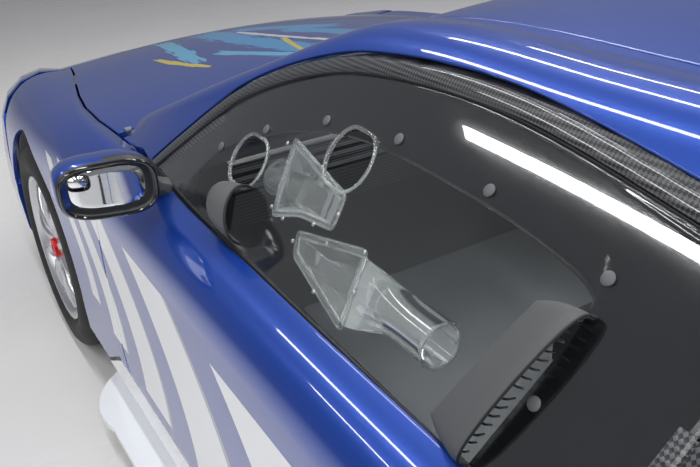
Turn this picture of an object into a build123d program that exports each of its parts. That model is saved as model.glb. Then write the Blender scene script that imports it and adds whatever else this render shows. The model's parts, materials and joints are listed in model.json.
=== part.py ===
from build123d import *
import math
import os

# A closed two-door touring car for circuit racing, in millimetres.
# +X points to the nose, +Y to the car's left, +Z up. The origin is on the ground, midway along the car.
# Left-hand pieces are drawn and their right-hand twins are mirrored from them.

# Axles and wheels
FRONT_AXLE_X = 1475.0
WHEELBASE = 2780.0
REAR_AXLE_X = FRONT_AXLE_X - WHEELBASE
TYRE_RADIUS = 340.0
TYRE_WIDTH = 290.0
FRONT_WHEEL_Y = 812.0
REAR_WHEEL_Y = 820.0
RIM_SEAT_RADIUS = 232.0
RIM_LIP = 9.0
BARREL_WALL = 10.0
SPOKES = 10
SPOKE_WIDTH = 34.0
HUB_BORE_RADIUS = 30.0
RUNNING_CLEARANCE = 0.05
SEAT_CLEARANCE = 0.3
DISC_RADIUS = 190.0
DISC_THICKNESS = 32.0
KINGPIN_Y = 800.0
ARCH_GAP = 48.0
ARCH_RADIUS = TYRE_RADIUS + ARCH_GAP
ARCH_INNER_Y = 545.0
AXLE_Z = TYRE_RADIUS

# Body panels
SKIN = 16.0
DOOR_THICKNESS = 55.0
FRAME_THICKNESS = 30.0
GLASS = 5.0
GLASS_RECESS = 3.0
PANEL_GAP = 7.0
LID_GAP = 18.0
BONNET_REAR_GAP = 28.0
GLASS_GAP = 0.5
FLOOR_Z = 110.0
BELT_Z = 885.0
SILL_TOP_Z = 323.0
CAR_FRONT_X = 2430.0
CAR_REAR_X = -2425.0
FAR = 3000.0

# Hinges
DOOR_HINGE_X = 655.0
DOOR_HINGE_Y = 931.0
DOOR_HINGE_HEIGHTS = (480.0, 690.0)
DOOR_PIN_RADIUS = 4.5
DOOR_EYE_RADIUS = 9.0
EYE_HALF_HEIGHT = 12.0
MOVING_GAP = 5.0
LID_PIN_RADIUS = 4.0
LID_EYE_RADIUS = 8.0
BONNET_HINGE = (955.0, 780.0, 862.0)
COWL_DROP = 30.0
BOOT_HINGE = (-1600.0, 560.0, 989.0)

# Steering and suspension
KINGPIN_RADIUS = 9.0
JOINT_OFFSET_Z = 150.0
ARM_RADIUS = 12.0
ARM_INNER_Y = 452.0
RAIL_INNER_Y = 380.0
RAIL_Y = 450.0
HALF_SHAFT_RADIUS = 24.0
SILL_INNER_Y = 760.0
FRONT_BULKHEAD_X = 990.0
REAR_BULKHEAD_X = -886.0
COLUMN_Y = -330.0
WHEEL_CENTRE = (330.0, COLUMN_Y, 790.0)
COLUMN_TILT = 22.0

# Lower body sections, nose to tail. Columns: x, bottom y, bottom z, rocker y, rocker z,
# waist y, waist z, shoulder y, shoulder z, top edge y, top edge z, centre line z
LOWER = [
    (2420, 860, FLOOR_Z, 895, 230, 900, 400, 862, 560, 610, 655, 690),
    (2050, 900, FLOOR_Z, 940, 240, 948, 430, 925, 620, 690, 752, 795),
    (FRONT_AXLE_X, 930, FLOOR_Z, 962, 290, 966, 480, 950, 690, 785, 815, 858),
    (950, 905, FLOOR_Z, 950, 250, 948, 500, 946, 740, 832, 862, 895),
    (250, 900, FLOOR_Z, 945, 250, 944, 500, 946, 790, 856, 882, 925),
    (-550, 900, FLOOR_Z, 948, 250, 948, 500, 950, 805, 868, 898, 955),
    (REAR_AXLE_X, 930, FLOOR_Z, 972, 300, 980, 500, 968, 800, 860, 935, 985),
    (-1950, 900, 150, 950, 300, 957, 520, 935, 800, 790, 962, 992),
    (-2420, 810, 220, 870, 330, 876, 540, 845, 790, 710, 955, 980),
]

# Greenhouse sections, cowl to tail. Columns: x, base y, base z, belt y, belt z,
# glass y, glass z, rail start y, rail start z, rail end y, rail end z, centre line z
UPPER = [
    (1120, 800, 780, 780, 800, 770, 808, 745, 815, 690, 822, 846),
    (800, 820, 790, 812, 872, 790, 898, 765, 928, 700, 955, 997),
    (450, 845, 790, 840, 878, 768, 985, 700, 1072, 625, 1112, 1140),
    (150, 858, 790, 846, 880, 742, 1028, 618, 1185, 500, 1232, 1246),
    (-300, 862, 790, 850, 885, 738, 1042, 606, 1205, 470, 1252, 1272),
    (-750, 862, 790, 848, 895, 734, 1042, 606, 1188, 470, 1238, 1258),
    (-1150, 850, 790, 835, 910, 738, 1012, 650, 1096, 540, 1142, 1166),
    (-1550, 820, 790, 808, 932, 755, 972, 710, 996, 630, 1016, 1040),
    (-1900, 780, 790, 768, 880, 740, 890, 700, 900, 640, 906, 918),
]
SHOULDER_BULGE = 0.22
RAIL_BULGE = 0.16
EDGE_INSET = 0.6


def bulge_point(a, b, share):
    """Middle of the arc that bows outwards between a and b by a share of their distance."""
    return (
        (a[0] + b[0]) / 2 + (b[1] - a[1]) * share,
        (a[1] + b[1]) / 2 - (b[0] - a[0]) * share,
    )


def arc_points(a, b, c, count):
    """Points along the arc from a through b to c, evenly spaced, without a itself."""
    d = 2 * (a[0] * (b[1] - c[1]) + b[0] * (c[1] - a[1]) + c[0] * (a[1] - b[1]))
    squares = [p[0] ** 2 + p[1] ** 2 for p in (a, b, c)]
    u = (squares[0] * (b[1] - c[1]) + squares[1] * (c[1] - a[1]) + squares[2] * (a[1] - b[1])) / d
    v = (squares[0] * (c[0] - b[0]) + squares[1] * (a[0] - c[0]) + squares[2] * (b[0] - a[0])) / d
    radius = math.hypot(a[0] - u, a[1] - v)
    start = math.atan2(a[1] - v, a[0] - u)
    turn = math.remainder(math.atan2(c[1] - v, c[0] - u) - start, 2 * math.pi)
    angles = [start + turn * i / count for i in range(1, count + 1)]
    return [(u + radius * math.cos(t), v + radius * math.sin(t)) for t in angles]


def section(row, inset, bulge, base_inset):
    """One closed ring: flat base, straight foot, side arc, corner arc and crowned top, as points."""
    x, y0, z0, y1, z1, y2, z2, y3, z3, y4, z4, z5 = row
    foot, low = (y0 - inset, z0 + base_inset), (y1 - inset, z1)
    side, corner = (y2 - inset, z2), (y3 - inset, z3 - inset * (1 - EDGE_INSET))
    edge, crown = (y4 - inset * EDGE_INSET, z4 - inset), (0, z5 - inset)
    middle = bulge_point(corner, edge, bulge)
    half = [foot, low] + arc_points(low, side, corner, 3) + arc_points(corner, middle, edge, 4)
    top = arc_points(edge, crown, (-edge[0], edge[1]), 6)[:-1]
    ring = half + top + [(-y, z) for y, z in reversed(half)]
    return [(x, y, z) for y, z in ring]


def with_middles(rows):
    """The rows with one more between each pair, on a smooth curve except for the straight base."""
    slopes = []
    for i, row in enumerate(rows):
        a, b = rows[max(i - 1, 0)], rows[min(i + 1, len(rows) - 1)]
        slopes.append([(q - p) / (b[0] - a[0]) for p, q in zip(a, b)])
    result = [rows[0]]
    for i in range(len(rows) - 1):
        a, b = rows[i], rows[i + 1]
        step = (b[0] - a[0]) / 8
        middle = [(p + q) / 2 for p, q in zip(a, b)]
        for k in range(3, len(middle)):
            middle[k] += step * (slopes[i][k] - slopes[i + 1][k])
        result += [tuple(middle), b]
    return result


def facet_solid(rings):
    """A closed solid of flat facets through rings of points that match one to one."""
    count = len(rings[0])
    corners = [rings[0], rings[-1]]
    for a, b in zip(rings, rings[1:]):
        for i in range(count):
            j = (i + 1) % count
            if a[i][1] + a[j][1] > 0:
                corners += [(a[i], a[j], b[j]), (a[i], b[j], b[i])]
            else:
                corners += [(a[i], a[j], b[i]), (a[j], b[j], b[i])]
    return Solid(Shell([Face(Wire.make_polygon([Vector(*p) for p in c])) for c in corners]))


def side_prism(points, y0, y1):
    """A prism across the car from y0 to y1, over a side-view outline of (x, z) points."""
    plane = Plane(origin=(0, y0, 0), x_dir=(1, 0, 0), z_dir=(0, -1, 0))
    face = Face(Wire.make_polygon([plane.from_local_coords(Vector(x, z, 0)) for x, z in points]))
    return extrude(face, amount=y1 - y0, dir=(0, 1, 0))


def plan_prism(edges, z0, z1):
    """An upright prism from z0 to z1 over a plan outline, given as edges or as (x, y) points."""
    if isinstance(edges[0], tuple):
        wire = Wire.make_polygon([Vector(x, y, 0) for x, y in edges])
    else:
        wire = Wire(edges)
    return Pos(0, 0, z0) * extrude(Face(wire), amount=z1 - z0, dir=(0, 0, 1))


def block(x0, x1, y0, y1, z0, z1):
    """A box between two corners."""
    return Pos((x0 + x1) / 2, (y0 + y1) / 2, (z0 + z1) / 2) * Box(abs(x1 - x0), abs(y1 - y0), abs(z1 - z0))


def rod(a, b, radius):
    """A round bar from a to b."""
    a, b = Vector(*a), Vector(*b)
    return Solid.make_cylinder(radius, (b - a).length, Plane(origin=a, z_dir=b - a))


def mirrored(shape):
    """The right-hand twin of a left-hand piece."""
    return shape.mirror(Plane.XZ)


def trim_outline(inset=0.0):
    """What rounds the nose and tail: the plan outline and the side outline, as one solid."""
    front, rear = CAR_FRONT_X - inset, CAR_REAR_X + inset
    nose, tail, half = front - 140, rear + 85, 700.0
    flank = 1010.0 - inset
    half_plan = [
        ThreePointArc((front, 0), (front - 36, half / 2), (nose, half)),
        ThreePointArc((nose, half), (nose - 85, half + 165), (nose - 300, flank - 50)),
        Line((nose - 300, flank - 50), (FRONT_AXLE_X, flank)),
        Line((FRONT_AXLE_X, flank), (tail + 420, flank)),
        ThreePointArc((tail + 420, flank), (tail + 95, half + 170), (tail, half)),
        ThreePointArc((tail, half), (rear + 22, half / 2), (rear, 0)),
        Line((rear, 0), (front, 0)),
    ]
    left = plan_prism(half_plan, 0, 1500)
    plan = left + mirrored(left)
    profile = [
        (front - 20, 0), (front, 330), (front - 4, 540), (front - 30, 630), (front - 110, 720), (front - 110, 1500),
        (rear + 35, 1500), (rear + 20, 925), (rear + 60, 760), (rear, 610), (rear + 30, 380), (rear + 130, 200),
        (rear + 130, 0),
    ]
    return plan & side_prism(profile, -1200, 1200)


def lower_solid(inset=0.0):
    """The lower body, sills to shoulders, drawn in by an inset."""
    return facet_solid([section(row, inset, SHOULDER_BULGE, inset) for row in with_middles(LOWER)])


def upper_solid(inset=0.0):
    """The greenhouse, drawn in by an inset. Its base stays, inside the lower body."""
    return facet_solid([section(row, inset, RAIL_BULGE, 0) for row in with_middles(UPPER)])


def arch_tool():
    """What opens the left wheel arches, with the air exit behind the front wheel."""
    y0, y1 = ARCH_INNER_Y, 1200
    front = rod((FRONT_AXLE_X, y0, AXLE_Z), (FRONT_AXLE_X, y1, AXLE_Z), ARCH_RADIUS)
    rear = rod((REAR_AXLE_X, y0, AXLE_Z), (REAR_AXLE_X, y1, AXLE_Z), ARCH_RADIUS)
    back = FRONT_AXLE_X - ARCH_RADIUS
    exit_cut = side_prism([(back + 3, AXLE_Z - 40), (back - 32, 160), (back - 32, 50), (back + 250, 50),
                           (back + 250, AXLE_Z - 40)], y0, y1)
    below = [block(x - ARCH_RADIUS + 30, x + ARCH_RADIUS - 30, y0, y1, 50, AXLE_Z - 150)
             for x in (FRONT_AXLE_X, REAR_AXLE_X)]
    return front + rear + exit_cut + below[0] + below[1]


# Outlines of panels. Side views are (x, z) and plans are (x, y).
HINGE_LINE_X = 757.0
DOOR_FOOT_Z = SILL_TOP_Z + PANEL_GAP
DOOR_REAR_LOW = (-560.0, DOOR_FOOT_Z)
DOOR_REAR_HIGH = (-668.0, 1215.0)
DOOR_FRONT = [(748, BELT_Z), (750, 700), (HINGE_LINE_X, 560), (745, 430), (722, 350), (700, DOOR_FOOT_Z)]
FRAME_TOP = [(664, BELT_Z), (572, 968), (440, 1078), (285, 1153), (110, 1199), (-195, 1218), (-560, 1183)]
FRAME_REAR_Z = 1166.0
STRIP_WIDTH = 22.0
FRAME_WIDTH = 46.0
BONNET_REAR_X, BONNET_REAR_MID_X, BONNET_REAR_Y = 940.0, 1038.0, 812.0
BONNET_FRONT_X, BONNET_FRONT_MID_X, BONNET_FRONT_Y = 2000.0, 2078.0, 662.0
BONNET_MID_Y = 768.0
BUMPER_TOP_X = 2010.0
REAR_BUMPER_X = -2235.0
BOOT_FRONT_X, BOOT_FRONT_MID_X, BOOT_Y = -1582.0, -1634.0, 592.0
BOOT_REAR_Y = 650.0


def rear_edge_x(z):
    """The door's rear shut line at a height."""
    (x0, z0), (x1, z1) = DOOR_REAR_LOW, DOOR_REAR_HIGH
    return x0 + (x1 - x0) * (z - z0) / (z1 - z0)


def lowered(points, margin):
    """A top outline drawn inwards: forward-facing parts move back, level parts move down."""
    moved = []
    for i, (x, z) in enumerate(points):
        (ax, az), (bx, bz) = points[max(i - 1, 0)], points[min(i + 1, len(points) - 1)]
        length = math.hypot(bx - ax, bz - az)
        moved.append((x - (bz - az) / length * margin, z + (bx - ax) / length * margin))
    return moved


def side_face(edges, y):
    """A face across the car at y, from side-view edges given in (x, z)."""
    return Plane(origin=(0, y, 0), x_dir=(1, 0, 0), z_dir=(0, -1, 0)) * Face(Wire(edges))


def polyline(points):
    """Straight edges through points."""
    return [Line(a, b) for a, b in zip(points, points[1:])]


def top_arcs(margin, first, last):
    """The cant-rail line as three arcs, drawn in by a margin, with its two ends given."""
    p = [first] + lowered(FRAME_TOP, margin)[1:-1] + [last]
    return [ThreePointArc(*p[0:3]), ThreePointArc(*p[2:5]), ThreePointArc(*p[4:7])]


def frame_corner(margin):
    """Where the top line meets the rear edge, both drawn in by a margin."""
    z = FRAME_REAR_Z - margin * 0.9
    return (rear_edge_x(z) + margin, z)


def door_prism(grow):
    """The whole door from the side, grown by a margin at every edge."""
    front = [(x + grow, z) for x, z in DOOR_FRONT]
    low_z = DOOR_FOOT_Z - grow
    front[-1] = (front[-1][0], low_z)
    tip = (FRAME_TOP[0][0] + grow * 1.4, BELT_Z)
    corner = frame_corner(-grow)
    edges = polyline([tip] + front + [(rear_edge_x(low_z) - grow, low_z), corner])
    return extrude(side_face(edges + top_arcs(-grow, tip, corner), 400), amount=800, dir=(0, 1, 0))


def frame_prism(margin):
    """The door's top outline above the belt, drawn in by a margin."""
    base = BELT_Z - 15
    tip = (FRAME_TOP[0][0] - margin * 1.4, BELT_Z)
    foot = (tip[0] + 12, base)
    corner = frame_corner(margin)
    edges = polyline([corner, (rear_edge_x(base) + margin, base), foot, tip])
    return extrude(side_face(edges + top_arcs(margin, tip, corner), 400), amount=800, dir=(0, 1, 0))


def bonnet_plan(grow, rear_gap=0.0):
    """The bonnet from above, grown by a margin, and further at its rear edge."""
    rear = grow + rear_gap
    half = [
        ThreePointArc((BONNET_REAR_MID_X - rear, 0), (BONNET_REAR_MID_X - 26 - rear, 410),
                      (BONNET_REAR_X - rear, BONNET_REAR_Y + grow)),
        ThreePointArc((BONNET_REAR_X - rear, BONNET_REAR_Y + grow), (FRONT_AXLE_X, BONNET_MID_Y + grow),
                      (BONNET_FRONT_X + grow, BONNET_FRONT_Y + grow)),
        ThreePointArc((BONNET_FRONT_X + grow, BONNET_FRONT_Y + grow), (BONNET_FRONT_X + 58 + grow, 330),
                      (BONNET_FRONT_MID_X + grow, 0)),
        Line((BONNET_FRONT_MID_X + grow, 0), (BONNET_REAR_MID_X - rear, 0)),
    ]
    left = plan_prism(half, 560, 1300)
    return left + mirrored(left)


def symmetric_plan(front_x, front_bow, front_y, rear_x, rear_bow, rear_y, side_bow, z0, z1, grow=0.0):
    """A plan prism symmetric about the centre line, with bowed front, rear and side edges."""
    f, r, fy, ry = front_x + grow, rear_x - grow, front_y + grow, rear_y + grow
    half = [
        ThreePointArc((f + front_bow, 0), (f + front_bow * 0.75, fy / 2), (f, fy)),
        ThreePointArc((f, fy), ((f + r) / 2, (fy + ry) / 2 + side_bow), (r, ry)) if side_bow else
        Line((f, fy), (r, ry)),
        ThreePointArc((r, ry), (r + rear_bow * 0.75, ry / 2), (r + rear_bow, 0)),
        Line((r + rear_bow, 0), (f + front_bow, 0)),
    ]
    left = plan_prism(half, z0, z1)
    return left + mirrored(left)


def windscreen_plan(grow=0.0):
    return symmetric_plan(884, 98, 694, 148, 42, 466, 8, 870, 1400, grow)


def roof_plan(grow=0.0):
    return symmetric_plan(147, 42, 466, -855.5, -34, 448, -24, 1100, 1400, grow)


def rear_window_plan(grow=0.0):
    return symmetric_plan(-857, -34, 448, -1520, -52, 590, 8, 960, 1400, grow)


def boot_plan(grow=0.0, front_gap=0.0):
    return symmetric_plan(BOOT_FRONT_X + front_gap, BOOT_FRONT_MID_X - BOOT_FRONT_X, BOOT_Y, -2500, 5, BOOT_REAR_Y, 12,
                          790, 1300, grow)


QUARTER_PANE = [(-672, 918), (-688, 1138), (-800, 1128), (-960, 1086), (-1090, 1022), (-1020, 940)]


def shrunk(points, margin):
    """An outline with each edge moved inwards by a margin."""
    area = sum(a[0] * b[1] - b[0] * a[1] for a, b in zip(points, points[1:] + points[:1]))
    side = margin if area > 0 else -margin
    moved = []
    for i, (x, z) in enumerate(points):
        (ax, az), (bx, bz) = points[i - 1], points[(i + 1) % len(points)]
        la, lb = math.hypot(x - ax, z - az), math.hypot(bx - x, bz - z)
        na, nb = (-(z - az) / la, (x - ax) / la), (-(bz - z) / lb, (bx - x) / lb)
        scale = side / (1 + na[0] * nb[0] + na[1] * nb[1])
        moved.append((x + (na[0] + nb[0]) * scale, z + (na[1] + nb[1]) * scale))
    return moved


def export(name, *shapes):
    """Writes one node's solids as one STEP file."""
    solids = [s for shape in shapes for s in shape.solids()]
    export_step(Compound(children=solids), f"parts/{name}.step")


def front_openings():
    """The upper grille opening and the lower intake, seen from the front."""
    return (
        front_prism([(-500, 430), (500, 430), (560, 575), (-560, 575)]),
        front_prism([(-620, 165), (620, 165), (560, 350), (-560, 350)]),
    )


def front_prism(points, x0=1900.0, x1=2600.0):
    """A prism along the car from x0 to x1, over a front-view outline of (y, z) points."""
    plane = Plane(origin=(x0, 0, 0), x_dir=(0, 1, 0), z_dir=(1, 0, 0))
    face = Face(Wire.make_polygon([plane.from_local_coords(Vector(y, z, 0)) for y, z in points]))
    return extrude(face, amount=x1 - x0, dir=(1, 0, 0))


def headlamp_tool(shrink):
    """Both headlamps, seen from the front."""
    s = shrink
    left = front_prism([(400 + s, 600 + s), (780 - s, 618 + s), (800 - s, 655 - s), (420 + s, 640 - s)])
    return left + mirrored(left)


def tail_lamp_tool(shrink):
    """Both tail lamps, seen from behind."""
    s = shrink
    left = block(-2600, -2250, 330 + s, 790 - s, 660 + s, 745 - s)
    return left + mirrored(left)


def skirt_plate():
    """The flat blade along the foot of the left sill, widest behind the front wheel."""
    edge = [
        Line((1040, 880), (1040, 905)),
        ThreePointArc((1040, 905), (960, 985), (800, 1000)),
        Line((800, 1000), (-700, 975)),
        ThreePointArc((-700, 975), (-860, 950), (-900, 895)),
        Line((-900, 895), (-900, 880)),
        Line((-900, 880), (1040, 880)),
    ]
    return plan_prism(edge, FLOOR_Z - 12, FLOOR_Z + 2)


def body_panels(nodes, outer, shell):
    """The outer panels, cut from one shell where the real ones meet."""
    arches = arch_tool()
    open_shell = shell - arches - mirrored(arches)
    left_shell = open_shell & block(-FAR, FAR, 0, FAR, 0, FAR)
    gap = PANEL_GAP / 2
    bonnet_hole = bonnet_plan(gap, BONNET_REAR_GAP - gap * 2)
    boot_hole = boot_plan(gap, LID_GAP - gap)

    cut = [(1852, 100), (1852, 430), (BUMPER_TOP_X, 642), (BUMPER_TOP_X, 1200)]
    ahead = side_prism([(x + gap, z) for x, z in cut] + [(2600, 1200), (2600, 100)], -1200, 1200)
    nose = (open_shell & ahead) - bonnet_hole
    nodes["headlamps"] = nose & headlamp_tool(GLASS_GAP)
    grille_hole, intake_hole = front_openings()
    bumper = nose - grille_hole - intake_hole - headlamp_tool(0)
    bumper -= block(2200, 2600, TOW_Y - 7, TOW_Y + 7, 293, 387)
    nodes["front_bumper"] = bumper + grille_bars()

    door_front = [(x + PANEL_GAP + extra, z) for (x, z), extra in zip(DOOR_FRONT[:-1], (0, 0, 0, 0, 1))]
    fender_side = [(755, 1100)] + door_front
    fender_side += [(709, DOOR_FOOT_Z), (790, DOOR_FOOT_Z), (1050, 170), (1700, 170)]
    fender_side += [(x - gap, z) for x, z in cut[1:3]] + [(BUMPER_TOP_X - gap, 1100)]
    outside = plan_prism([(700, BONNET_REAR_Y + 4), (960, BONNET_REAR_Y + 4), (1040, 600), (2100, 600), (2100, 1200),
                          (700, 1200)], 0, 1500)
    fender = (left_shell & side_prism(fender_side, 500, 1200) & outside) - bonnet_hole
    nodes["front_fenders"] = fender + mirrored(fender)

    sill_side = [(785, SILL_TOP_Z), (1045, 163), (1058, FLOOR_Z - 20), (-915, FLOOR_Z - 20), (-915, SILL_TOP_Z)]
    floor_cut = block(-FAR, FAR, -878, 878, 0, FLOOR_Z + SKIN)
    skirt = (left_shell & side_prism(sill_side, 700, 1200)) - floor_cut + skirt_plate()
    nodes["side_skirts"] = skirt + mirrored(skirt)

    quarter_side = [
        (1100, 700), (1100, 1500), (REAR_BUMPER_X + gap, 1500), (REAR_BUMPER_X + gap, 628), (-1706, 512), (-1706, 60),
        (-915, 60), (-915, DOOR_FOOT_Z), (-540, DOOR_FOOT_Z), (-540, 600), (735, 600), (735, 700),
    ]
    side = (left_shell & side_prism(quarter_side, 0, 1200)) - door_prism(PANEL_GAP)
    front_cut = [(735, BONNET_REAR_Y - 3), (900, BONNET_REAR_Y - 3), (900, -10), (2200, -10), (2200, 1200), (735, 1200)]
    side -= plan_prism(front_cut, 0, 867)
    side -= plan_prism([(735, BONNET_REAR_Y - 3), (2200, BONNET_REAR_Y - 3), (2200, 1200), (735, 1200)], 0, 1500)
    for tool in (bonnet_hole, windscreen_plan(), roof_plan(gap), rear_window_plan(), boot_hole):
        side -= tool
    side -= side_prism(QUARTER_PANE, 500, 1200)
    side -= block(690, 1100, -10, 704, 700, 1200)
    side -= block(-FAR, FAR, -10, 878, 0, 200)
    nodes["body_side_left"] = side

    cowl = (open_shell & block(690, 1100, -700, 700, 700, 1200)) - bonnet_hole - windscreen_plan()
    nodes["cowl_panel"] = Pos(0, 0, -COWL_DROP) * cowl
    nodes["roof_panel"] = open_shell & roof_plan(-gap)
    nodes["bonnet"] = with_lid_hinges(open_shell & bonnet_plan(-gap), BONNET_HINGE, outer)
    behind = side_prism([(-1706 - PANEL_GAP, 60), (-1706 - PANEL_GAP, 508), (REAR_BUMPER_X - gap, 624),
                         (REAR_BUMPER_X - gap, 1200), (-2600, 1200), (-2600, 60)], -1200, 1200)
    nodes["boot_lid"] = with_lid_hinges(open_shell & boot_plan(-gap), BOOT_HINGE, outer)
    tail = (open_shell & behind) - boot_hole - block(-FAR, FAR, -FAR, FAR, 0, FLOOR_Z + 70)
    nodes["tail_lamps"] = tail & tail_lamp_tool(GLASS_GAP)
    slot = block(-2600, -2200, TOW_Y - 7, TOW_Y + 7, 408, 507)
    nodes["rear_bumper"] = [tail - tail_lamp_tool(0) - slot, diffuser()]


def grille_bars():
    """The upright vanes in the two front openings, following the bumper's skin from behind."""
    bars = []
    for low, high, half in ((162, 356, 560), (424, 580, 470)):
        bars += [block(2000, 2600, y - 3, y + 3, low, high) for y in range(-half, half + 1, 94)]
    return (trim_outline(10) - trim_outline(30)) & bars


def diffuser():
    """The rising tunnel floor under the tail, with its upright strakes."""
    floor = side_prism([(-1712, 112), (-2330, 215), (-2330, 223), (-1712, 122)], -560, 560)
    strakes = Part()
    for y in (-556, -280, 0, 280, 556):
        strakes += side_prism([(-1740, 116), (-2330, 150), (-2330, 222), (-1740, 125)], y - 4, y + 4)
    return floor + strakes


def with_lid_hinges(lid, hinge, outer):
    """A lid with a pin at each side, held between two lugs, in a pocket for the fixed eye."""
    x, y, z = hinge
    for hand in (1, -1):
        centre = y * hand
        lid -= rod((x, centre - 14, z), (x, centre + 14, z), LID_EYE_RADIUS + 4)
        lid -= block(x - 28, x + 28, centre - 14, centre + 14, z - 40, z)
        for a, b in ((-22, -14), (14, 22)):
            lug = rod((x, centre + a, z), (x, centre + b, z), LID_EYE_RADIUS)
            lug += block(x - LID_EYE_RADIUS, x + LID_EYE_RADIUS, centre + a, centre + b, z, z + 50)
            lid += lug & outer
        lid += rod((x, centre - 17, z), (x, centre + 17, z), LID_PIN_RADIUS)
    return lid


def lid_eye(hinge, foot_z):
    """The left fixed eye that a lid's pin turns in, with its upright plate."""
    x, y, z = hinge
    eye = rod((x, y - 8, z), (x, y + 8, z), LID_EYE_RADIUS) + block(x - 6, x + 6, y - 8, y + 8, foot_z, z)
    return eye - rod((x, y - 9, z), (x, y + 9, z), LID_PIN_RADIUS + RUNNING_CLEARANCE)


def rear_draft(points_z=(860.0, 1260.0), slope=0.34):
    """What bevels the frame's rear edge, so that its inner side leads and the door swings clear."""
    def edge(z):
        surface_y = 848.0 - (z - 886.0) * 0.74
        return rear_edge_x(z) + slope * surface_y
    low, high = points_z
    plane = Plane(origin=(0, 0, 0), x_dir=(1, 0, 0), z_dir=(0, -1, 0))
    corners = [(edge(low), low), (edge(high), high), (-1500, high), (-1500, low)]
    face = Face(Wire.make_polygon([plane.from_local_coords(Vector(x, z, 0)) for x, z in corners]))
    return extrude(face, amount=1300, dir=(-slope, 1, 0))


def doors(nodes, outer, upper, pane_shell):
    """The left door: the lower door with its hinge pins, the window frame and the clear sheet."""
    low_region = block(-900, 900, 700, 1200, 0, BELT_Z)
    inner = (lower_solid(DOOR_THICKNESS) & low_region) + (upper_solid(FRAME_THICKNESS) & low_region)
    door = (outer & low_region & door_prism(0)) - inner
    for z in DOOR_HINGE_HEIGHTS:
        reach = EYE_HALF_HEIGHT + MOVING_GAP
        radius = DOOR_EYE_RADIUS + 3
        door -= rod((DOOR_HINGE_X, DOOR_HINGE_Y, z - reach), (DOOR_HINGE_X, DOOR_HINGE_Y, z + reach), radius)
        door -= block(DOOR_HINGE_X - 15, DOOR_HINGE_X + 120, 700, DOOR_HINGE_Y, z - reach, z + reach)
        door += rod((DOOR_HINGE_X, DOOR_HINGE_Y, z - reach - 2), (DOOR_HINGE_X, DOOR_HINGE_Y, z + reach + 2),
                    DOOR_PIN_RADIUS)
    nodes["door_left"] = door

    region = block(-720, 700, 562, 950, BELT_Z + SEAT_CLEARANCE, 1300)
    rebate = upper_solid(GLASS_RECESS + GLASS + GLASS_GAP) & region
    inside = upper_solid(FRAME_THICKNESS) & region
    strip = ((upper & region) - inside) & (frame_prism(0) - frame_prism(STRIP_WIDTH))
    ledge = (rebate - inside) & (frame_prism(STRIP_WIDTH) - frame_prism(FRAME_WIDTH))
    nodes["window_frame_left"] = (strip + ledge) - rear_draft()

    sheet = (pane_shell & block(-720, 700, 500, 950, BELT_Z + 1.2, 1300)) & frame_prism(STRIP_WIDTH + GLASS_GAP)
    for x, z in WINDOW_HOLES:
        sheet -= window_plane(x, z) * extrude(SlotOverall(HOLE_LENGTH, HOLE_HEIGHT), amount=80, both=True)
    for outline in (FRONT_DUCT, REAR_DUCT):
        sheet -= window_prism(shrunk(outline, FLANGE_WIDTH))
    nodes["door_window_left"] = sheet


# On the clear side sheet, as (x, z): the two open holes, and the outlines of the two ducts' flanges
WINDOW_HOLES = [(287, 1000), (31, 1076)]
HOLE_LENGTH, HOLE_HEIGHT = 107.0, 76.0
FRONT_DUCT = [(196, 1066), (148, 956), (74, 980), (-16, 990), (-6, 1038)]
REAR_DUCT = [(66, 965), (44, 933), (-136, 900), (-108, 1000)]
FLANGE_WIDTH = 11.0
DUCT_WALL = 2.5
WINDOW_LEAN = 0.7656
WINDOW_NORMAL = (0, 1 / math.hypot(1, WINDOW_LEAN), WINDOW_LEAN / math.hypot(1, WINDOW_LEAN))


def window_point(x, z, depth=0.0):
    """A point on the left clear sheet's mean plane, moved inwards by a depth."""
    return (x, 845 - (z - 880) * WINDOW_LEAN - depth * WINDOW_NORMAL[1], z - depth * WINDOW_NORMAL[2])


def window_plane(x, z):
    """A plane on the left clear sheet at a point, facing outwards."""
    return Plane(origin=window_point(x, z), x_dir=(1, 0, 0), z_dir=WINDOW_NORMAL)


def window_prism(points, reach=80):
    """A prism through the left clear sheet, square to it, over an outline of (x, z) points."""
    face = Face(Wire.make_polygon([Vector(*window_point(x, z)) for x, z in points]))
    return extrude(face, amount=reach, dir=WINDOW_NORMAL, both=True)


def duct_rings(stations, inset, sign):
    """Rings of eight points across a duct. A station: x, lean, low z, high z, near depth, far depth, corner share."""
    rings = []
    for x, lean, low, high, near, far, corner in stations:
        cz, cd = (low + high) / 2, (near + far) / 2
        hz, hd = (high - low) / 2 - inset, (far - near) / 2 - inset
        ring = []
        for a, b in ((1, 1 - corner), (1 - corner, 1), (corner - 1, 1), (-1, 1 - corner), (-1, corner - 1),
                     (corner - 1, -1), (1 - corner, -1), (1, corner - 1)):
            ring.append(window_point(x + sign * lean * a, cz + a * hz, cd + b * hd))
        rings.append(ring)
    return rings


# Columns: x, half slant along x, low z, high z, near depth, far depth, corner share
FRONT_TUBE = [(-6, 0, 1000, 1032, -6, 24, 0.2), (169, 17, 972, 1050, -6, 66, 0.2), (215, 8, 976, 1044, 26, 88, 0.45),
              (262, 0, 970, 1030, 34, 102, 0.6)]
REAR_TUBE = [(50, 0, 937, 960, -6, 24, 0.2), (-118, 10, 912, 988, -6, 66, 0.2), (-172, 5, 912, 986, 24, 90, 0.45),
             (-212, 0, 914, 982, 34, 102, 0.6), (-252, 0, 916, 984, 38, 106, 0.6)]


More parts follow.
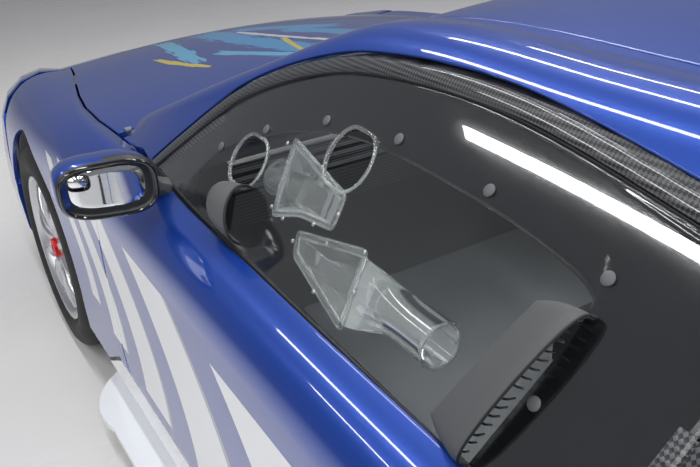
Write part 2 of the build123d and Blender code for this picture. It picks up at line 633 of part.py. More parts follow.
def window_ducts():
    """Two clear ducts behind the left sheet: a flange round each mouth, and a funnel down to a tube."""
    near = GLASS_RECESS + GLASS + SEAT_CLEARANCE
    plate = upper_solid(near) - upper_solid(near + 3)
    clear = upper_solid(near)
    ducts = []
    for outline, stations, sign in ((FRONT_DUCT, FRONT_TUBE, 1), (REAR_DUCT, REAR_TUBE, -1)):
        mouth = window_prism(shrunk(outline, FLANGE_WIDTH))
        hull = facet_solid(duct_rings(stations, 0, sign))
        end = stations[-1]
        lowered_rows = [(s[0], s[1], s[2], s[3], max(s[4], near + 6), s[5], s[6]) for s in stations[:-1]]
        longer = lowered_rows + [(end[0] + 40 * sign,) + end[1:]]
        hollow = facet_solid(duct_rings(longer, DUCT_WALL, sign))
        duct = (window_prism(outline) & plate) + (hull & clear)
        ducts.append(duct - hollow - (mouth & (clear - upper_solid(near + 16))))
    return ducts


def scoop_ring(a, b, height, share, count=6):
    """A half-oval ring over the sheet between two (x, z) points, its base sunk under the sheet."""
    ring = []
    for i in range(count + 1):
        t = math.pi * i / count
        along = 0.5 - 0.5 * math.cos(t)
        x, z = a[0] + (b[0] - a[0]) * along, a[1] + (b[1] - a[1]) * along
        ring.append(window_point(x, z, -height * math.sin(t) ** share))
    return ring + [window_point(*b, 14), window_point(*a, 14)]


# Columns: foot x, foot z, head x, head z, height over the sheet
INLET_SCOOP = [(186, 897, 236, 972, 44), (216, 895, 262, 968, 46), (262, 896, 298, 960, 42), (300, 903, 322, 946, 26),
               (318, 914, 328, 934, 8)]
OUTLET_SCOOP = [(-424, 892, -470, 1066, 38), (-404, 892, -450, 1066, 34), (-374, 896, -424, 1062, 20),
                (-346, 904, -398, 1054, 5)]


def window_scoops():
    """The grey dome and the long grey vent on the outside of the left sheet, both open to the rear."""
    under = upper_solid(GLASS_RECESS - SEAT_CLEARANCE)
    scoops = []
    for rows, share in ((INLET_SCOOP, 0.75), (OUTLET_SCOOP, 0.45)):
        hull = facet_solid([scoop_ring((a, b), (c, d), h, share) for a, b, c, d, h in rows])
        behind = (rows[0][0] - 20, rows[0][1], rows[0][2] - 20, rows[0][3], rows[0][4])
        hollow_rows = [behind] + rows[:-1] + [tuple(p + (q - p) * 0.4 for p, q in zip(rows[-2], rows[-1]))]
        hollow = []
        for a, b, c, d, h in hollow_rows:
            hollow.append(scoop_ring((a, b + 4), (c, d - 4), max(h - 3.5, 1.5), share))
        scoops.append((hull - facet_solid(hollow)) - under)
    return scoops


def glazing(nodes, pane_shell):
    """The fixed panes, let into the body's openings."""
    nodes["windscreen"] = pane_shell & windscreen_plan(-GLASS_GAP)
    rear = pane_shell & rear_window_plan(-GLASS_GAP)
    quarter = pane_shell & side_prism(shrunk(QUARTER_PANE, GLASS_GAP), 500, 1200)
    nodes["rear_windows"] = [rear, quarter, mirrored(quarter)]


# Columns: x, width along the car, crown height of the roof there
ROOF_BOWS = [(96, 40, 1238), (-370, 50, 1273), (-840, 50, 1246)]
BOW_DEPTH = 30.0
BOW_RADIUS = 3500.0


TOW_Y = 300.0
TOW_HOLE_RADIUS = 16.0


def chassis(inner):
    """Floor, sills, posts, bulkheads, rails, wheel houses and roof bows, each a plain solid of its own."""
    floor_top = FLOOR_Z + 17
    clear = 30 - ARCH_RADIUS
    apron_y = ARCH_INNER_Y - 2
    front, rear = (FRONT_BULKHEAD_X, FRONT_BULKHEAD_X + 16), (REAR_BULKHEAD_X - 15, REAR_BULKHEAD_X)
    boot_x, boot_y, _ = BOOT_HINGE
    middle = [
        block(-1700, 1850, -apron_y + 14, apron_y - 14, FLOOR_Z, floor_top),
        block(*front, -SILL_INNER_Y, SILL_INNER_Y, floor_top, 780),
        block(*rear, -SILL_INNER_Y, SILL_INNER_Y, floor_top, 780),
        block(*front, -250, 250, 780, 790),
        Pos(0, 0, -COWL_DROP) * (symmetric_plan(941, 72, 694, 898, 72, 694, 0, 790 + COWL_DROP, 1000) & inner),
        block(2282, 2500, -690, 690, 362, 420) & inner,
        block(-2500, -2220, -690, 690, 480, 560) & inner,
    ]
    for x, depth, crown_z in ROOF_BOWS:
        under_z = crown_z - SKIN - BOW_DEPTH - BOW_RADIUS
        bow = block(x - depth / 2, x + depth / 2, -540, 540, 1050, 1400)
        middle.append((bow - rod((x - depth, 0, under_z), (x + depth, 0, under_z), BOW_RADIUS)) & inner)
    conformed = [
        block(-900, 1040, SILL_INNER_Y, 1000, floor_top, SILL_TOP_Z),
        block(*front, SILL_INNER_Y, 1000, SILL_TOP_Z, 780),
        block(*rear, SILL_INNER_Y, 1000, SILL_TOP_Z, 780),
        block(762, 860, 745, 812, 735, 960),
        block(-770, -700, 800, 1000, SILL_TOP_Z, 860),
        block(-1556, -1530, 500, apron_y - 14, 420, 1100),
    ]
    plain = [
        block(REAR_AXLE_X - clear, 1055, apron_y - 14, 878 - SEAT_CLEARANCE, FLOOR_Z, floor_top),
        block(640, 860, 745, 812, SILL_TOP_Z, 735),
        block(front[1], 2282, RAIL_INNER_Y, RAIL_Y, 300, 400),
        block(-2260, -2220, RAIL_INNER_Y, RAIL_Y, 300, 480),
        block(-1556, -1530, RAIL_INNER_Y, apron_y - 14, 400, 420),
        block(boot_x - 30, -1530, apron_y - 14, boot_y + 20, 860, 905),
        block(940, FRONT_BULKHEAD_X, SILL_INNER_Y, 800, 700, 775),
        lid_eye(BONNET_HINGE, 775),
        lid_eye(BOOT_HINGE, 905),
    ]
    rail = block(-2220, rear[0], RAIL_INNER_Y, RAIL_Y, 300, 400)
    plain.append(rail - rod((REAR_AXLE_X, 300, AXLE_Z), (REAR_AXLE_X, 600, AXLE_Z), HALF_SHAFT_RADIUS + 10))
    for x in (FRONT_AXLE_X, REAR_AXLE_X):
        plain.append(block(x + clear, x - clear, apron_y - 14, apron_y, 470, 700))
        conformed += arch_liner(x, apron_y)
    for z in DOOR_HINGE_HEIGHTS:
        low, high = z - EYE_HALF_HEIGHT, z + EYE_HALF_HEIGHT
        arm = block(DOOR_HINGE_X - 4, DOOR_HINGE_X + 4, 812, DOOR_HINGE_Y, low, high)
        arm += rod((DOOR_HINGE_X, DOOR_HINGE_Y, low), (DOOR_HINGE_X, DOOR_HINGE_Y, high), DOOR_EYE_RADIUS)
        plain.append(arm - rod((DOOR_HINGE_X, DOOR_HINGE_Y, low - 1), (DOOR_HINGE_X, DOOR_HINGE_Y, high + 1),
                               DOOR_PIN_RADIUS + RUNNING_CLEARANCE))
    left = plain + [piece & inner for piece in conformed]
    return middle + left + [mirrored(piece) for piece in left] + tow_eyes()


def arch_liner(axle_x, y):
    """A wheel house's roof, as flat plates round the wheel from the apron out to the wing."""
    plates = []
    angles = [math.radians(9 + 27 * k) for k in range(7)]
    low, high = ARCH_RADIUS + 2, ARCH_RADIUS + 8
    for a, b in zip(angles, angles[1:]):
        corners = [(low, a), (high, a), (high, b), (low, b)]
        outline = [(axle_x + r * math.cos(t), AXLE_Z + r * math.sin(t)) for r, t in corners]
        plates.append(side_prism(outline, y, 930))
    return plates


def tow_eyes():
    """The towing eyes, plates with a bored end that hang from the two end beams and reach past the bumpers."""
    front = block(2300, 2452, TOW_Y - 6, TOW_Y + 6, 300, 362)
    front -= rod((2425, TOW_Y - 10, 325), (2425, TOW_Y + 10, 325), TOW_HOLE_RADIUS)
    rear = block(-2452, -2300, TOW_Y - 6, TOW_Y + 6, 415, 480)
    rear -= rod((-2430, TOW_Y - 10, 440), (-2430, TOW_Y + 10, 440), TOW_HOLE_RADIUS)
    return [front, rear]


def suspension():
    """Wishbones to all four uprights, the fixed rear uprights with their stub axles, and the transaxle."""
    parts = []
    for hand in (1, -1):
        for x, spread in ((FRONT_AXLE_X, 150), (REAR_AXLE_X, 150)):
            for z in (AXLE_Z - JOINT_OFFSET_Z, AXLE_Z + JOINT_OFFSET_Z):
                outer_end = (x, KINGPIN_Y * hand, z)
                arm = rod((x, KINGPIN_Y * hand, z - 10), (x, KINGPIN_Y * hand, z + 10), KINGPIN_RADIUS + 9)
                inner_z = 310 if z < AXLE_Z else 390
                for side in (-1, 1):
                    end = (x + side * spread, (ARM_INNER_Y + 14) * hand, inner_z)
                    arm += rod(outer_end, end, ARM_RADIUS)
                    arm += rod((end[0], (RAIL_Y + SEAT_CLEARANCE) * hand, end[2]),
                               (end[0], (ARM_INNER_Y + 26) * hand, end[2]), ARM_RADIUS + 2)
                arm -= rod((x, KINGPIN_Y * hand, z - 40), (x, KINGPIN_Y * hand, z + 40),
                           KINGPIN_RADIUS + RUNNING_CLEARANCE)
                parts.append(arm)
        parts.append(upright(REAR_AXLE_X, REAR_WHEEL_Y, hand))
    transaxle = rod((REAR_AXLE_X, -170, AXLE_Z), (REAR_AXLE_X, 170, AXLE_Z), 120)
    transaxle += block(REAR_AXLE_X - 60, REAR_AXLE_X + 60, -380 + SEAT_CLEARANCE, 380 - SEAT_CLEARANCE, 320, 370)
    transaxle += rod((REAR_AXLE_X, -765, AXLE_Z), (REAR_AXLE_X, 765, AXLE_Z), HALF_SHAFT_RADIUS)
    parts.append(transaxle)
    return parts


def upright(axle_x, wheel_y, hand):
    """The upright: a plate with kingpins above and below, a bearing housing, stub axle and caliper."""
    y = KINGPIN_Y * hand
    piece = block(axle_x - 40, axle_x + 40, y - 22, y + 22, AXLE_Z - JOINT_OFFSET_Z + 28, AXLE_Z + JOINT_OFFSET_Z - 28)
    piece += rod((axle_x, y - 30 * hand, AXLE_Z), (axle_x, y + 26 * hand, AXLE_Z), 62)
    piece += rod((axle_x, y, AXLE_Z), (axle_x, (wheel_y + 108) * hand, AXLE_Z), HUB_BORE_RADIUS - RUNNING_CLEARANCE)
    piece += rod((axle_x, y, AXLE_Z - JOINT_OFFSET_Z - 10), (axle_x, y, AXLE_Z + JOINT_OFFSET_Z + 10), KINGPIN_RADIUS)
    disc_y = (wheel_y + 44) * hand
    ring = rod((axle_x, disc_y - 31, AXLE_Z), (axle_x, disc_y + 31, AXLE_Z), 208)
    ring -= rod((axle_x, disc_y - 40, AXLE_Z), (axle_x, disc_y + 40, AXLE_Z), 120)
    ring -= rod((axle_x, disc_y - DISC_THICKNESS / 2 - 5, AXLE_Z), (axle_x, disc_y + DISC_THICKNESS / 2 + 5, AXLE_Z),
                DISC_RADIUS + 6)
    caliper = ring & block(axle_x - 300, axle_x - 90, -1200, 1200, AXLE_Z - 95, AXLE_Z + 95)
    low_y = disc_y - 31 * hand
    piece += caliper
    piece += block(axle_x - 190, axle_x, y - 10 * hand, y + 22 * hand, AXLE_Z - 40, AXLE_Z + 40)
    piece += block(axle_x - 190, axle_x - 70, y - 10 * hand, low_y + 8 * hand, AXLE_Z - 40, AXLE_Z + 40)
    return piece


def wheel(axle_x, wheel_y, hand):
    """A rim with its spokes, hub, disc and centre nut, and the tyre seated on it."""
    def at(y):
        return (axle_x, (wheel_y + y) * hand, AXLE_Z)
    half = TYRE_WIDTH / 2
    bead = half - 18
    barrel = rod(at(-bead), at(bead), RIM_SEAT_RADIUS) - rod(at(-bead - 1), at(bead + 1), RIM_SEAT_RADIUS - BARREL_WALL)
    for a, b in ((-bead - 7, -bead), (bead, bead + 7)):
        barrel += rod(at(a), at(b), RIM_SEAT_RADIUS + RIM_LIP) - rod(at(a - 1), at(b + 1),
                                                                   RIM_SEAT_RADIUS - BARREL_WALL)
    hub = rod(at(20), at(112), 58)
    disc = rod(at(44 - DISC_THICKNESS / 2), at(44 + DISC_THICKNESS / 2), DISC_RADIUS)
    spokes = Part()
    for i in range(SPOKES):
        plane = Plane(origin=(axle_x, 0, AXLE_Z), x_dir=(1, 0, 0), z_dir=(0, -1, 0))
        y0, y1 = wheel_y + 82, wheel_y + 112
        spoke = block(30, RIM_SEAT_RADIUS - BARREL_WALL / 2, y0, y1, -SPOKE_WIDTH / 2, SPOKE_WIDTH / 2)
        spokes += Pos(axle_x, 0, AXLE_Z) * Rot(0, 360 / SPOKES * i, 0) * spoke
    if hand < 0:
        spokes = mirrored(spokes)
    nut = Pos(*at(0)) * Rot(90, 0, 0) * extrude(RegularPolygon(38, 6), amount=20)
    nut = Pos(0, 132 * hand if hand > 0 else -112, 0) * nut
    rim = barrel + hub + disc + spokes + nut
    rim -= rod(at(0), at(109), HUB_BORE_RADIUS)
    section_points = [
        Line((-bead, RIM_SEAT_RADIUS + SEAT_CLEARANCE), (bead, RIM_SEAT_RADIUS + SEAT_CLEARANCE)),
        Line((bead, RIM_SEAT_RADIUS + SEAT_CLEARANCE), (bead, RIM_SEAT_RADIUS + RIM_LIP + 6)),
        ThreePointArc((bead, RIM_SEAT_RADIUS + RIM_LIP + 6), (half, 285), (half - 14, 322)),
        ThreePointArc((half - 14, 322), (half - 22, 334), (half - 34, TYRE_RADIUS)),
        Line((half - 34, TYRE_RADIUS), (34 - half, TYRE_RADIUS)),
        ThreePointArc((34 - half, TYRE_RADIUS), (22 - half, 334), (14 - half, 322)),
        ThreePointArc((14 - half, 322), (-half, 285), (-bead, RIM_SEAT_RADIUS + RIM_LIP + 6)),
        Line((-bead, RIM_SEAT_RADIUS + RIM_LIP + 6), (-bead, RIM_SEAT_RADIUS + SEAT_CLEARANCE)),
    ]
    ring = revolve(Face(Wire(section_points)), Axis.X, 360)
    tyre = Pos(*at(0)) * Rot(0, 0, 90) * ring
    return rim, tyre


def roll_cage():
    """The welded tube cage: main hoop, front legs along the pillars, stays, roof and door bars."""
    r = 20.0
    foot = FLOOR_Z + 17.3
    cage = Part()
    runs = []
    for hand in (1, -1):
        hoop_low, hoop_mid, hoop_top = (-430, 690 * hand, foot), (-430, 690 * hand, 760), (-430, 500 * hand, 1150)
        front_low, front_mid, front_top = (850, 690 * hand, foot), (800, 690 * hand, 800), (60, 480 * hand, 1130)
        runs += [(hoop_low, hoop_mid), (hoop_mid, hoop_top), (front_low, front_mid), (front_mid, front_top),
                 (front_top, hoop_top), (hoop_top, (-865, 560 * hand, 640)),
                 ((825, 690 * hand, 480), (-430, 690 * hand, 300)), ((825, 690 * hand, 300), (-430, 690 * hand, 480))]
    runs += [((-430, 500, 1150), (-430, -500, 1150)), ((60, 480, 1130), (60, -480, 1130)),
             ((-430, 690, 760), (-430, -690, 760)), ((-430, 500, 1150), (-430, -690, 300)),
             ((800, 690, 800), (800, -690, 800))]
    for a, b in runs:
        cage += rod(a, b, r)
        for end in (a, b):
            if end[2] > foot + 1:
                cage += Pos(*end) * Sphere(r)
    for hand in (1, -1):
        for x in (-430, 850):
            cage += block(x - 50, x + 50, 690 * hand - 45, 690 * hand + 45, foot, foot + 6)
        cage += block(-880 - 5.7, -860, 560 * hand - 40, 560 * hand + 40, 600, 680)
    return cage & block(-1000, 1000, -800, 800, foot, 1300)


def seat():
    """A one-piece racing bucket seat on the driver's side, on two floor brackets."""
    profile = [(250, 190), (230, 300), (150, 330), (-60, 260), (-150, 520), (-250, 960), (-300, 960), (-290, 560),
               (-230, 210), (-120, 160)]
    body = Pos(0, 0, 0) * side_prism([(x + 20, z + 10) for x, z in profile], COLUMN_Y - 250, COLUMN_Y + 250)
    hollow = side_prism([(320, 330), (190, 345), (-50, 285), (-140, 540), (-225, 1010), (320, 1010)],
                        COLUMN_Y - 205, COLUMN_Y + 205)
    wings = side_prism([(270, 200), (270, 360), (60, 380), (-20, 700), (-200, 980), (-280, 970), (-270, 570),
                        (-200, 220), (-100, 170)], COLUMN_Y - 250, COLUMN_Y + 250)
    body = (body + wings) - hollow
    for y in (COLUMN_Y - 200, COLUMN_Y + 200):
        body += block(-120, 180, y - 6, y + 6, FLOOR_Z + 17.3, 240)
    return body


def column_point(distance):
    """A point on the steering column, forward of the wheel's centre."""
    x, y, z = WHEEL_CENTRE
    tilt = math.radians(COLUMN_TILT)
    return (x + distance * math.cos(tilt), y, z - distance * math.sin(tilt))


def dashboard():
    """The dash shell across the cabin, its binnacle and the steering column."""
    shell = side_prism([(885, 640), (700, 640), (640, 760), (660, 830), (780, 850), (885, 838)], -640, 640)
    shell -= side_prism([(900, 655), (712, 655), (662, 765), (676, 816), (780, 834), (900, 819)], -625, 625)
    shell += block(600, 700, COLUMN_Y - 130, COLUMN_Y + 130, 770, 850)
    shell -= rod((800, -700, 800), (800, 700, 800), 20.5)
    for y in (-500, 0, 500):
        shell += block(880, 990 - SEAT_CLEARANCE, y - 20, y + 20, 640, 655)
    column = rod(column_point(40), column_point(560), 17)
    stub = rod(column_point(10), column_point(60), 9)
    return shell + column + stub


def steering_wheel():
    """The flat-bottomed rim, three spokes and the quick-release boss, on the column's stub."""
    x, y, z = WHEEL_CENTRE
    tilt = COLUMN_TILT
    ring = Solid.make_torus(150, 14)
    spokes = Part()
    for angle in (0, 180, 270):
        spokes += Rot(0, 0, angle) * block(20, 142, -16, 16, -4, 4)
    boss = Solid.make_cylinder(34, 40, Plane(origin=(0, 0, -22)))
    piece = ring + spokes + boss
    piece -= Solid.make_cylinder(9 + RUNNING_CLEARANCE, 40, Plane(origin=(0, 0, -23)))
    turned = Plane(origin=(x, y, z), x_dir=(0, 1, 0),
                   z_dir=(-math.cos(math.radians(tilt)), 0, math.sin(math.radians(tilt))))
    return turned.location * piece


def mirror():
    """The left door mirror: a rounded cap on a short arm to the door's shoulder."""
    sections = [(398, 176, 116, 30), (440, 178, 118, 34), (482, 150, 96, 36), (512, 90, 56, 24)]
    rings = []
    for x, width, height, corner in sections:
        plane = Plane(origin=(x, 985 - (x - 398) * 0.12, 960 - (x - 398) * 0.02), x_dir=(0, 1, 0), z_dir=(1, 0, 0))
        rings.append((plane * RectangleRounded(width, height, corner)).face().outer_wire())
    cap = Solid.make_loft(rings)
    arm = rod((455, 905, 930), (520, 862, 896), 11)
    foot = rod((520, 862, 896), (520, 846, 866), 16)
    return cap + arm + foot


def rear_wing():
    """The rear wing: a cambered plane, two end plates and two uprights off the boot lid."""
    plane = side_prism([(-2150, 1180), (-2210, 1196), (-2320, 1200), (-2440, 1232), (-2445, 1238), (-2320, 1216),
                        (-2210, 1212), (-2155, 1192)], -720, 720)
    wing = plane
    for hand in (1, -1):
        wing += side_prism([(-2130, 1130), (-2455, 1130), (-2455, 1270), (-2130, 1220)], 720 * hand - 4, 720 * hand + 4)
    return wing


def wing_uprights():
    uprights = Part()
    for y in (-330, 330):
        uprights += side_prism([(-2200, 900), (-2300, 900), (-2330, 1204), (-2230, 1200)], y - 6, y + 6)
    return uprights


def splitter():
    """The flat blade under the nose."""
    edge = [
        ThreePointArc((2455, 0), (2425, 420), (2330, 760)),
        ThreePointArc((2330, 760), (2230, 872), (2080, 908)),
        Line((2080, 908), (1890, 908)),
        Line((1890, 908), (1890, 0)),
        Line((1890, 0), (2455, 0)),
    ]
    left = plan_prism(edge, FLOOR_Z - 12, FLOOR_Z - SEAT_CLEARANCE)
    return left + mirrored(left)


def engine_block():
    """The engine's mass as one block, with a mount at each side."""
    piece = block(1120, 1700, -240, 240, 220, 680)
    for hand in (1, -1):
        piece += block(1350, 1430, 235 * hand, (380 - SEAT_CLEARANCE) * hand, 320, 380)
    return piece


def main():
    os.makedirs("parts", exist_ok=True)
    nodes = {}
    lower, upper = lower_solid(), upper_solid()
    outer = (lower & trim_outline()) + upper
    skin_inner = (lower_solid(SKIN) & trim_outline(SKIN)) + upper_solid(SKIN)
    seat_offset = SKIN + SEAT_CLEARANCE
    seat_inner = (lower_solid(seat_offset) & trim_outline(seat_offset)) + upper_solid(seat_offset)
    pane_shell = upper_solid(GLASS_RECESS) - upper_solid(GLASS_RECESS + GLASS)

    body_panels(nodes, outer, outer - skin_inner)
    doors(nodes, outer, upper, pane_shell)
    glazing(nodes, pane_shell)
    nodes["window_ducts_left"] = window_ducts()
    nodes["window_scoops_left"] = window_scoops()
    nodes["chassis"] = chassis(seat_inner)
    nodes["suspension"] = suspension()
    nodes["knuckle_left"] = upright(FRONT_AXLE_X, FRONT_WHEEL_Y, 1)
    for side, hand in (("left", 1), ("right", -1)):
        for end, x, y in (("front", FRONT_AXLE_X, FRONT_WHEEL_Y), ("rear", REAR_AXLE_X, REAR_WHEEL_Y)):
            rim, tyre = wheel(x, y, hand)
            nodes[f"rim_{end}_{side}"] = rim
            nodes[f"tyre_{end}_{side}"] = tyre
    nodes["roll_cage"] = roll_cage()
    nodes["seat"] = seat()
    nodes["dashboard"] = dashboard()
    nodes["steering_wheel"] = steering_wheel()
    nodes["mirror_left"] = mirror() - outer
    nodes["rear_wing"] = rear_wing() + (wing_uprights() - outer)
    nodes["front_splitter"] = splitter()
    nodes["engine_block"] = engine_block()
    for name, shape in nodes.items():
        shapes = shape if isinstance(shape, list) else [shape]
        export(name, *shapes)
        twin = name[:-4] + "right"
        if name.endswith("_left") and twin not in nodes:
            export(twin, *[mirrored(s) for s in shapes])


if __name__ == "__main__":
    main()
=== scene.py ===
import bmesh
import bpy
import json
import math
import numpy as np
from mathutils import Matrix, Vector


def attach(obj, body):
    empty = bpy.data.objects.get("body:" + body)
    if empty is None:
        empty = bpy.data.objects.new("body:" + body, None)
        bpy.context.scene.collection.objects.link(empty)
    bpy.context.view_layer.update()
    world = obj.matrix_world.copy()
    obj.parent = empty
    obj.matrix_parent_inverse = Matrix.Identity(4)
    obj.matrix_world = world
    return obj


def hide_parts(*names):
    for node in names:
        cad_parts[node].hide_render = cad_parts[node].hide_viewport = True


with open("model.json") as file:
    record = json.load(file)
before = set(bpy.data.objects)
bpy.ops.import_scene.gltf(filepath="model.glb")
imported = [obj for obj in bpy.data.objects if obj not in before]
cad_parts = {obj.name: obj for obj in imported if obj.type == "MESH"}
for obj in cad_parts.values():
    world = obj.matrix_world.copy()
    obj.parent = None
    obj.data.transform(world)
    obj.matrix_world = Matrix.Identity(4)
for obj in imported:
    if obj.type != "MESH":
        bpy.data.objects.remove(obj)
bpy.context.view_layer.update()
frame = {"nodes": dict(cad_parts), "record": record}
scene = bpy.context.scene

# The camera
# It stands behind and above the car's left side and looks forward and down into the side window.
PICTURE_WIDTH = 700.0
FOCAL_LENGTH = 777.01
SENSOR_WIDTH = 36.0
CAMERA_PLACE = (-0.90763548, 1.28655917, 1.53374764)
CAMERA_RIGHT = (-0.5394, -0.8415, -0.0317)
CAMERA_FORWARD = (0.7506, -0.4634, -0.4710)
camera_data = bpy.data.cameras.new("camera")
camera_data.sensor_width = SENSOR_WIDTH
camera_data.lens = FOCAL_LENGTH * SENSOR_WIDTH / PICTURE_WIDTH
camera = bpy.data.objects.new("camera", camera_data)
scene.collection.objects.link(camera)
right = Vector(CAMERA_RIGHT)
forward = Vector(CAMERA_FORWARD).normalized()
right = (right - forward * right.dot(forward)).normalized()
camera_turn = Matrix((right, right.cross(forward), -forward)).transposed().to_4x4()
camera_turn.translation = CAMERA_PLACE
camera.matrix_world = camera_turn
scene.camera = camera

# The doors' outer skins
# Pressed sheet in blue metallic paint, drawn over a wide shoulder to the window seal, with hemmed edges.
# Sections across the body in mm: x, then y and z of foot, rocker, waist, shoulder and top edge, and crown z.
LOWER_SECTIONS = [
    (-2420, 810, 220, 870, 330, 876, 540, 845, 790, 710, 955, 980),
    (-1950, 900, 150, 950, 300, 957, 520, 935, 800, 790, 962, 992),
    (-1305, 930, 110, 972, 300, 980, 500, 968, 800, 860, 935, 985),
    (-550, 900, 110, 948, 250, 948, 500, 950, 805, 868, 898, 955),
    (250, 900, 110, 945, 250, 944, 500, 946, 790, 856, 882, 925),
    (950, 905, 110, 950, 250, 948, 500, 946, 740, 832, 862, 895),
    (1475, 930, 110, 962, 290, 966, 480, 950, 690, 785, 815, 858),
    (2050, 900, 110, 940, 240, 948, 430, 925, 620, 690, 752, 795),
    (2420, 860, 110, 895, 230, 900, 400, 862, 560, 610, 655, 690),
]
UPPER_SECTIONS = [
    (-1900, 780, 790, 768, 880, 740, 890, 700, 900, 640, 906, 918),
    (-1550, 820, 790, 808, 932, 755, 972, 710, 996, 630, 1016, 1040),
    (-1150, 850, 790, 835, 910, 738, 1012, 650, 1096, 540, 1142, 1166),
    (-750, 862, 790, 848, 895, 734, 1042, 606, 1188, 470, 1238, 1258),
    (-300, 862, 790, 850, 885, 738, 1042, 606, 1205, 470, 1252, 1272),
    (150, 858, 790, 846, 880, 742, 1028, 618, 1185, 500, 1232, 1246),
    (450, 845, 790, 840, 878, 768, 985, 700, 1072, 625, 1112, 1140),
    (800, 820, 790, 812, 872, 790, 898, 765, 928, 700, 955, 997),
    (1120, 800, 780, 780, 800, 770, 808, 745, 815, 690, 822, 846),
]
STATIONS = 520
ROUND = 241
SOFTENING_PASSES = 8
GIRTH = (1, 1.6)
WIDTH, HEIGHT = 1, 2


def columns_at(rows, x):
    """Each column's value at x, on a cubic whose slope at a row is the slope between its two neighbours."""
    xs = rows[:, 0]
    low = np.maximum(np.arange(len(xs)) - 1, 0)
    high = np.minimum(np.arange(len(xs)) + 1, len(xs) - 1)
    slope = (rows[high] - rows[low]) / (xs[high] - xs[low])[:, None]
    i = np.clip(np.searchsorted(xs, x) - 1, 0, len(xs) - 2)
    h = (xs[i + 1] - xs[i])[:, None]
    t = (x[:, None] - xs[i][:, None]) / h
    a, b = 2 * t ** 3 - 3 * t ** 2 + 1, t ** 3 - 2 * t ** 2 + t
    c, d = 3 * t ** 2 - 2 * t ** 3, t ** 3 - t ** 2
    return a * rows[i] + b * h * slope[i] + c * rows[i + 1] + d * h * slope[i + 1]


def bow(a, b, c, t):
    """A shallow curve from a through b to c: the chord plus a height that falls away as a parabola."""
    chord = c - a
    length = (chord ** 2).sum(1)
    share = ((b - a) * chord).sum(1) / length
    rise = (chord[:, 0] * (b - a)[:, 1] - chord[:, 1] * (b - a)[:, 0]) / length
    height = rise[:, None] * t * (1 - t) / (share * (1 - share))[:, None]
    normal = np.stack([-chord[:, 1], chord[:, 0]], 1)
    return a[:, None] + chord[:, None] * t[:, None] + normal[:, None] * height[..., None]


def run_along(points):
    """A polyline's length up to each of its points."""
    return np.concatenate([[0], np.cumsum(np.hypot(*np.diff(points[:, :2], axis=0).T))])


def body_table(rows, bulge):
    """Sections from rocker to rocker by stations, evenly spaced round the curve, softened where arcs meet."""
    rows = np.array(rows, float) / 1000
    xs = np.linspace(rows[0, 0], rows[-1, 0], STATIONS)
    v = columns_at(rows, xs)
    low, side, corner, edge = v[:, 3:5], v[:, 5:7], v[:, 7:9], v[:, 9:11]
    crown = np.stack([np.zeros(len(xs)), v[:, 11]], 1)
    chord = edge - corner
    middle = (corner + edge) / 2 + np.stack([chord[:, 1], -chord[:, 0]], 1) * bulge
    far = edge * (-1, 1)
    t = np.linspace(0, 1, 60)
    curve = np.concatenate([bow(low, side, corner, t)[:, :-1], bow(corner, middle, edge, t)[:, :-1],
                            bow(edge, crown, far, t / 2)], 1)
    half = np.empty((len(xs), ROUND, 2))
    for i, line in enumerate(curve):
        run = run_along(line)
        at = np.linspace(0, run[-1], ROUND)
        half[i] = np.stack([np.interp(at, run, line[:, 0]), np.interp(at, run, line[:, 1])], 1)
    full = np.concatenate([half, half[:, -2::-1] * (-1, 1)], 1)
    for _ in range(SOFTENING_PASSES):
        full[:, 1:-1] = full[:, 1:-1] / 2 + (full[:, :-2] + full[:, 2:]) / 4
    return xs, full


BODY = {"lower": body_table(LOWER_SECTIONS, 0.22), "upper": body_table(UPPER_SECTIONS, 0.16)}


def cubic_weights(t):
    """The four weights of a cubic that passes through every sample."""
    return [(-t + 2 * t ** 2 - t ** 3) / 2, (2 - 5 * t ** 2 + 3 * t ** 3) / 2,
            (t + 4 * t ** 2 - 3 * t ** 3) / 2, (t ** 3 - t ** 2) / 2]


def looked_up(table, i, j):
    """The table's value between its samples, on a cubic each way."""
    i, j = np.clip(i, 1, table.shape[0] - 2.001), np.clip(j, 1, table.shape[1] - 2.001)
    i0, j0 = np.floor(i).astype(int), np.floor(j).astype(int)
    a, b = cubic_weights(i - i0), cubic_weights(j - j0)
    return sum((a[m] * b[n])[..., None] * table[i0 + m - 1, j0 + n - 1] for m in range(4) for n in range(4))


def body_point(which, x, s):
    """A point on the body at x, with s from 0 at the left rocker over 0.5 at the crown to 1 at the right."""
    xs, table = BODY[which]
    value = looked_up(table, (x - xs[0]) / (xs[1] - xs[0]), s * (table.shape[1] - 1))
    return np.concatenate([np.asarray(x)[..., None] + 0 * value[..., :1], value], -1)


def body_inside(which, x, s, depth):
    """The body's surface moved inwards along its own normal by a depth."""
    along = body_point(which, x + 0.004, s) - body_point(which, x - 0.004, s)
    around = body_point(which, x, s + 0.002) - body_point(which, x, s - 0.002)
    normal = np.cross(around, along)
    normal /= np.maximum(np.linalg.norm(normal, axis=-1, keepdims=True), 1e-12)
    return body_point(which, x, s) - normal * np.asarray(depth)[..., None]


def s_where(which, x, values, axis):
    """The left side's s where the surface reaches each height, or on its top each width."""
    s = np.linspace(0.5, 0, 500) if axis == WIDTH else np.linspace(0, 0.5, 500)
    lines = [body_point(which, np.full(500, a), s)[:, axis] for a in x]
    return np.array([np.interp(b, np.maximum.accumulate(line), s) for b, line in zip(values, lines)])


def spread(points, count):
    """Points of a polyline, evenly spaced along it."""
    points = np.asarray(points, float)
    run = run_along(points)
    at = np.linspace(0, run[-1], count)
    return np.stack([np.interp(at, run, points[:, k]) for k in range(points.shape[1])], 1)


def from_side(which, points, count):
    """A curve on the body over a side-view line of (x, z) points in metres."""
    p = spread(points, count)
    return np.stack([p[:, 0], s_where(which, p[:, 0], p[:, 1], HEIGHT)], 1)


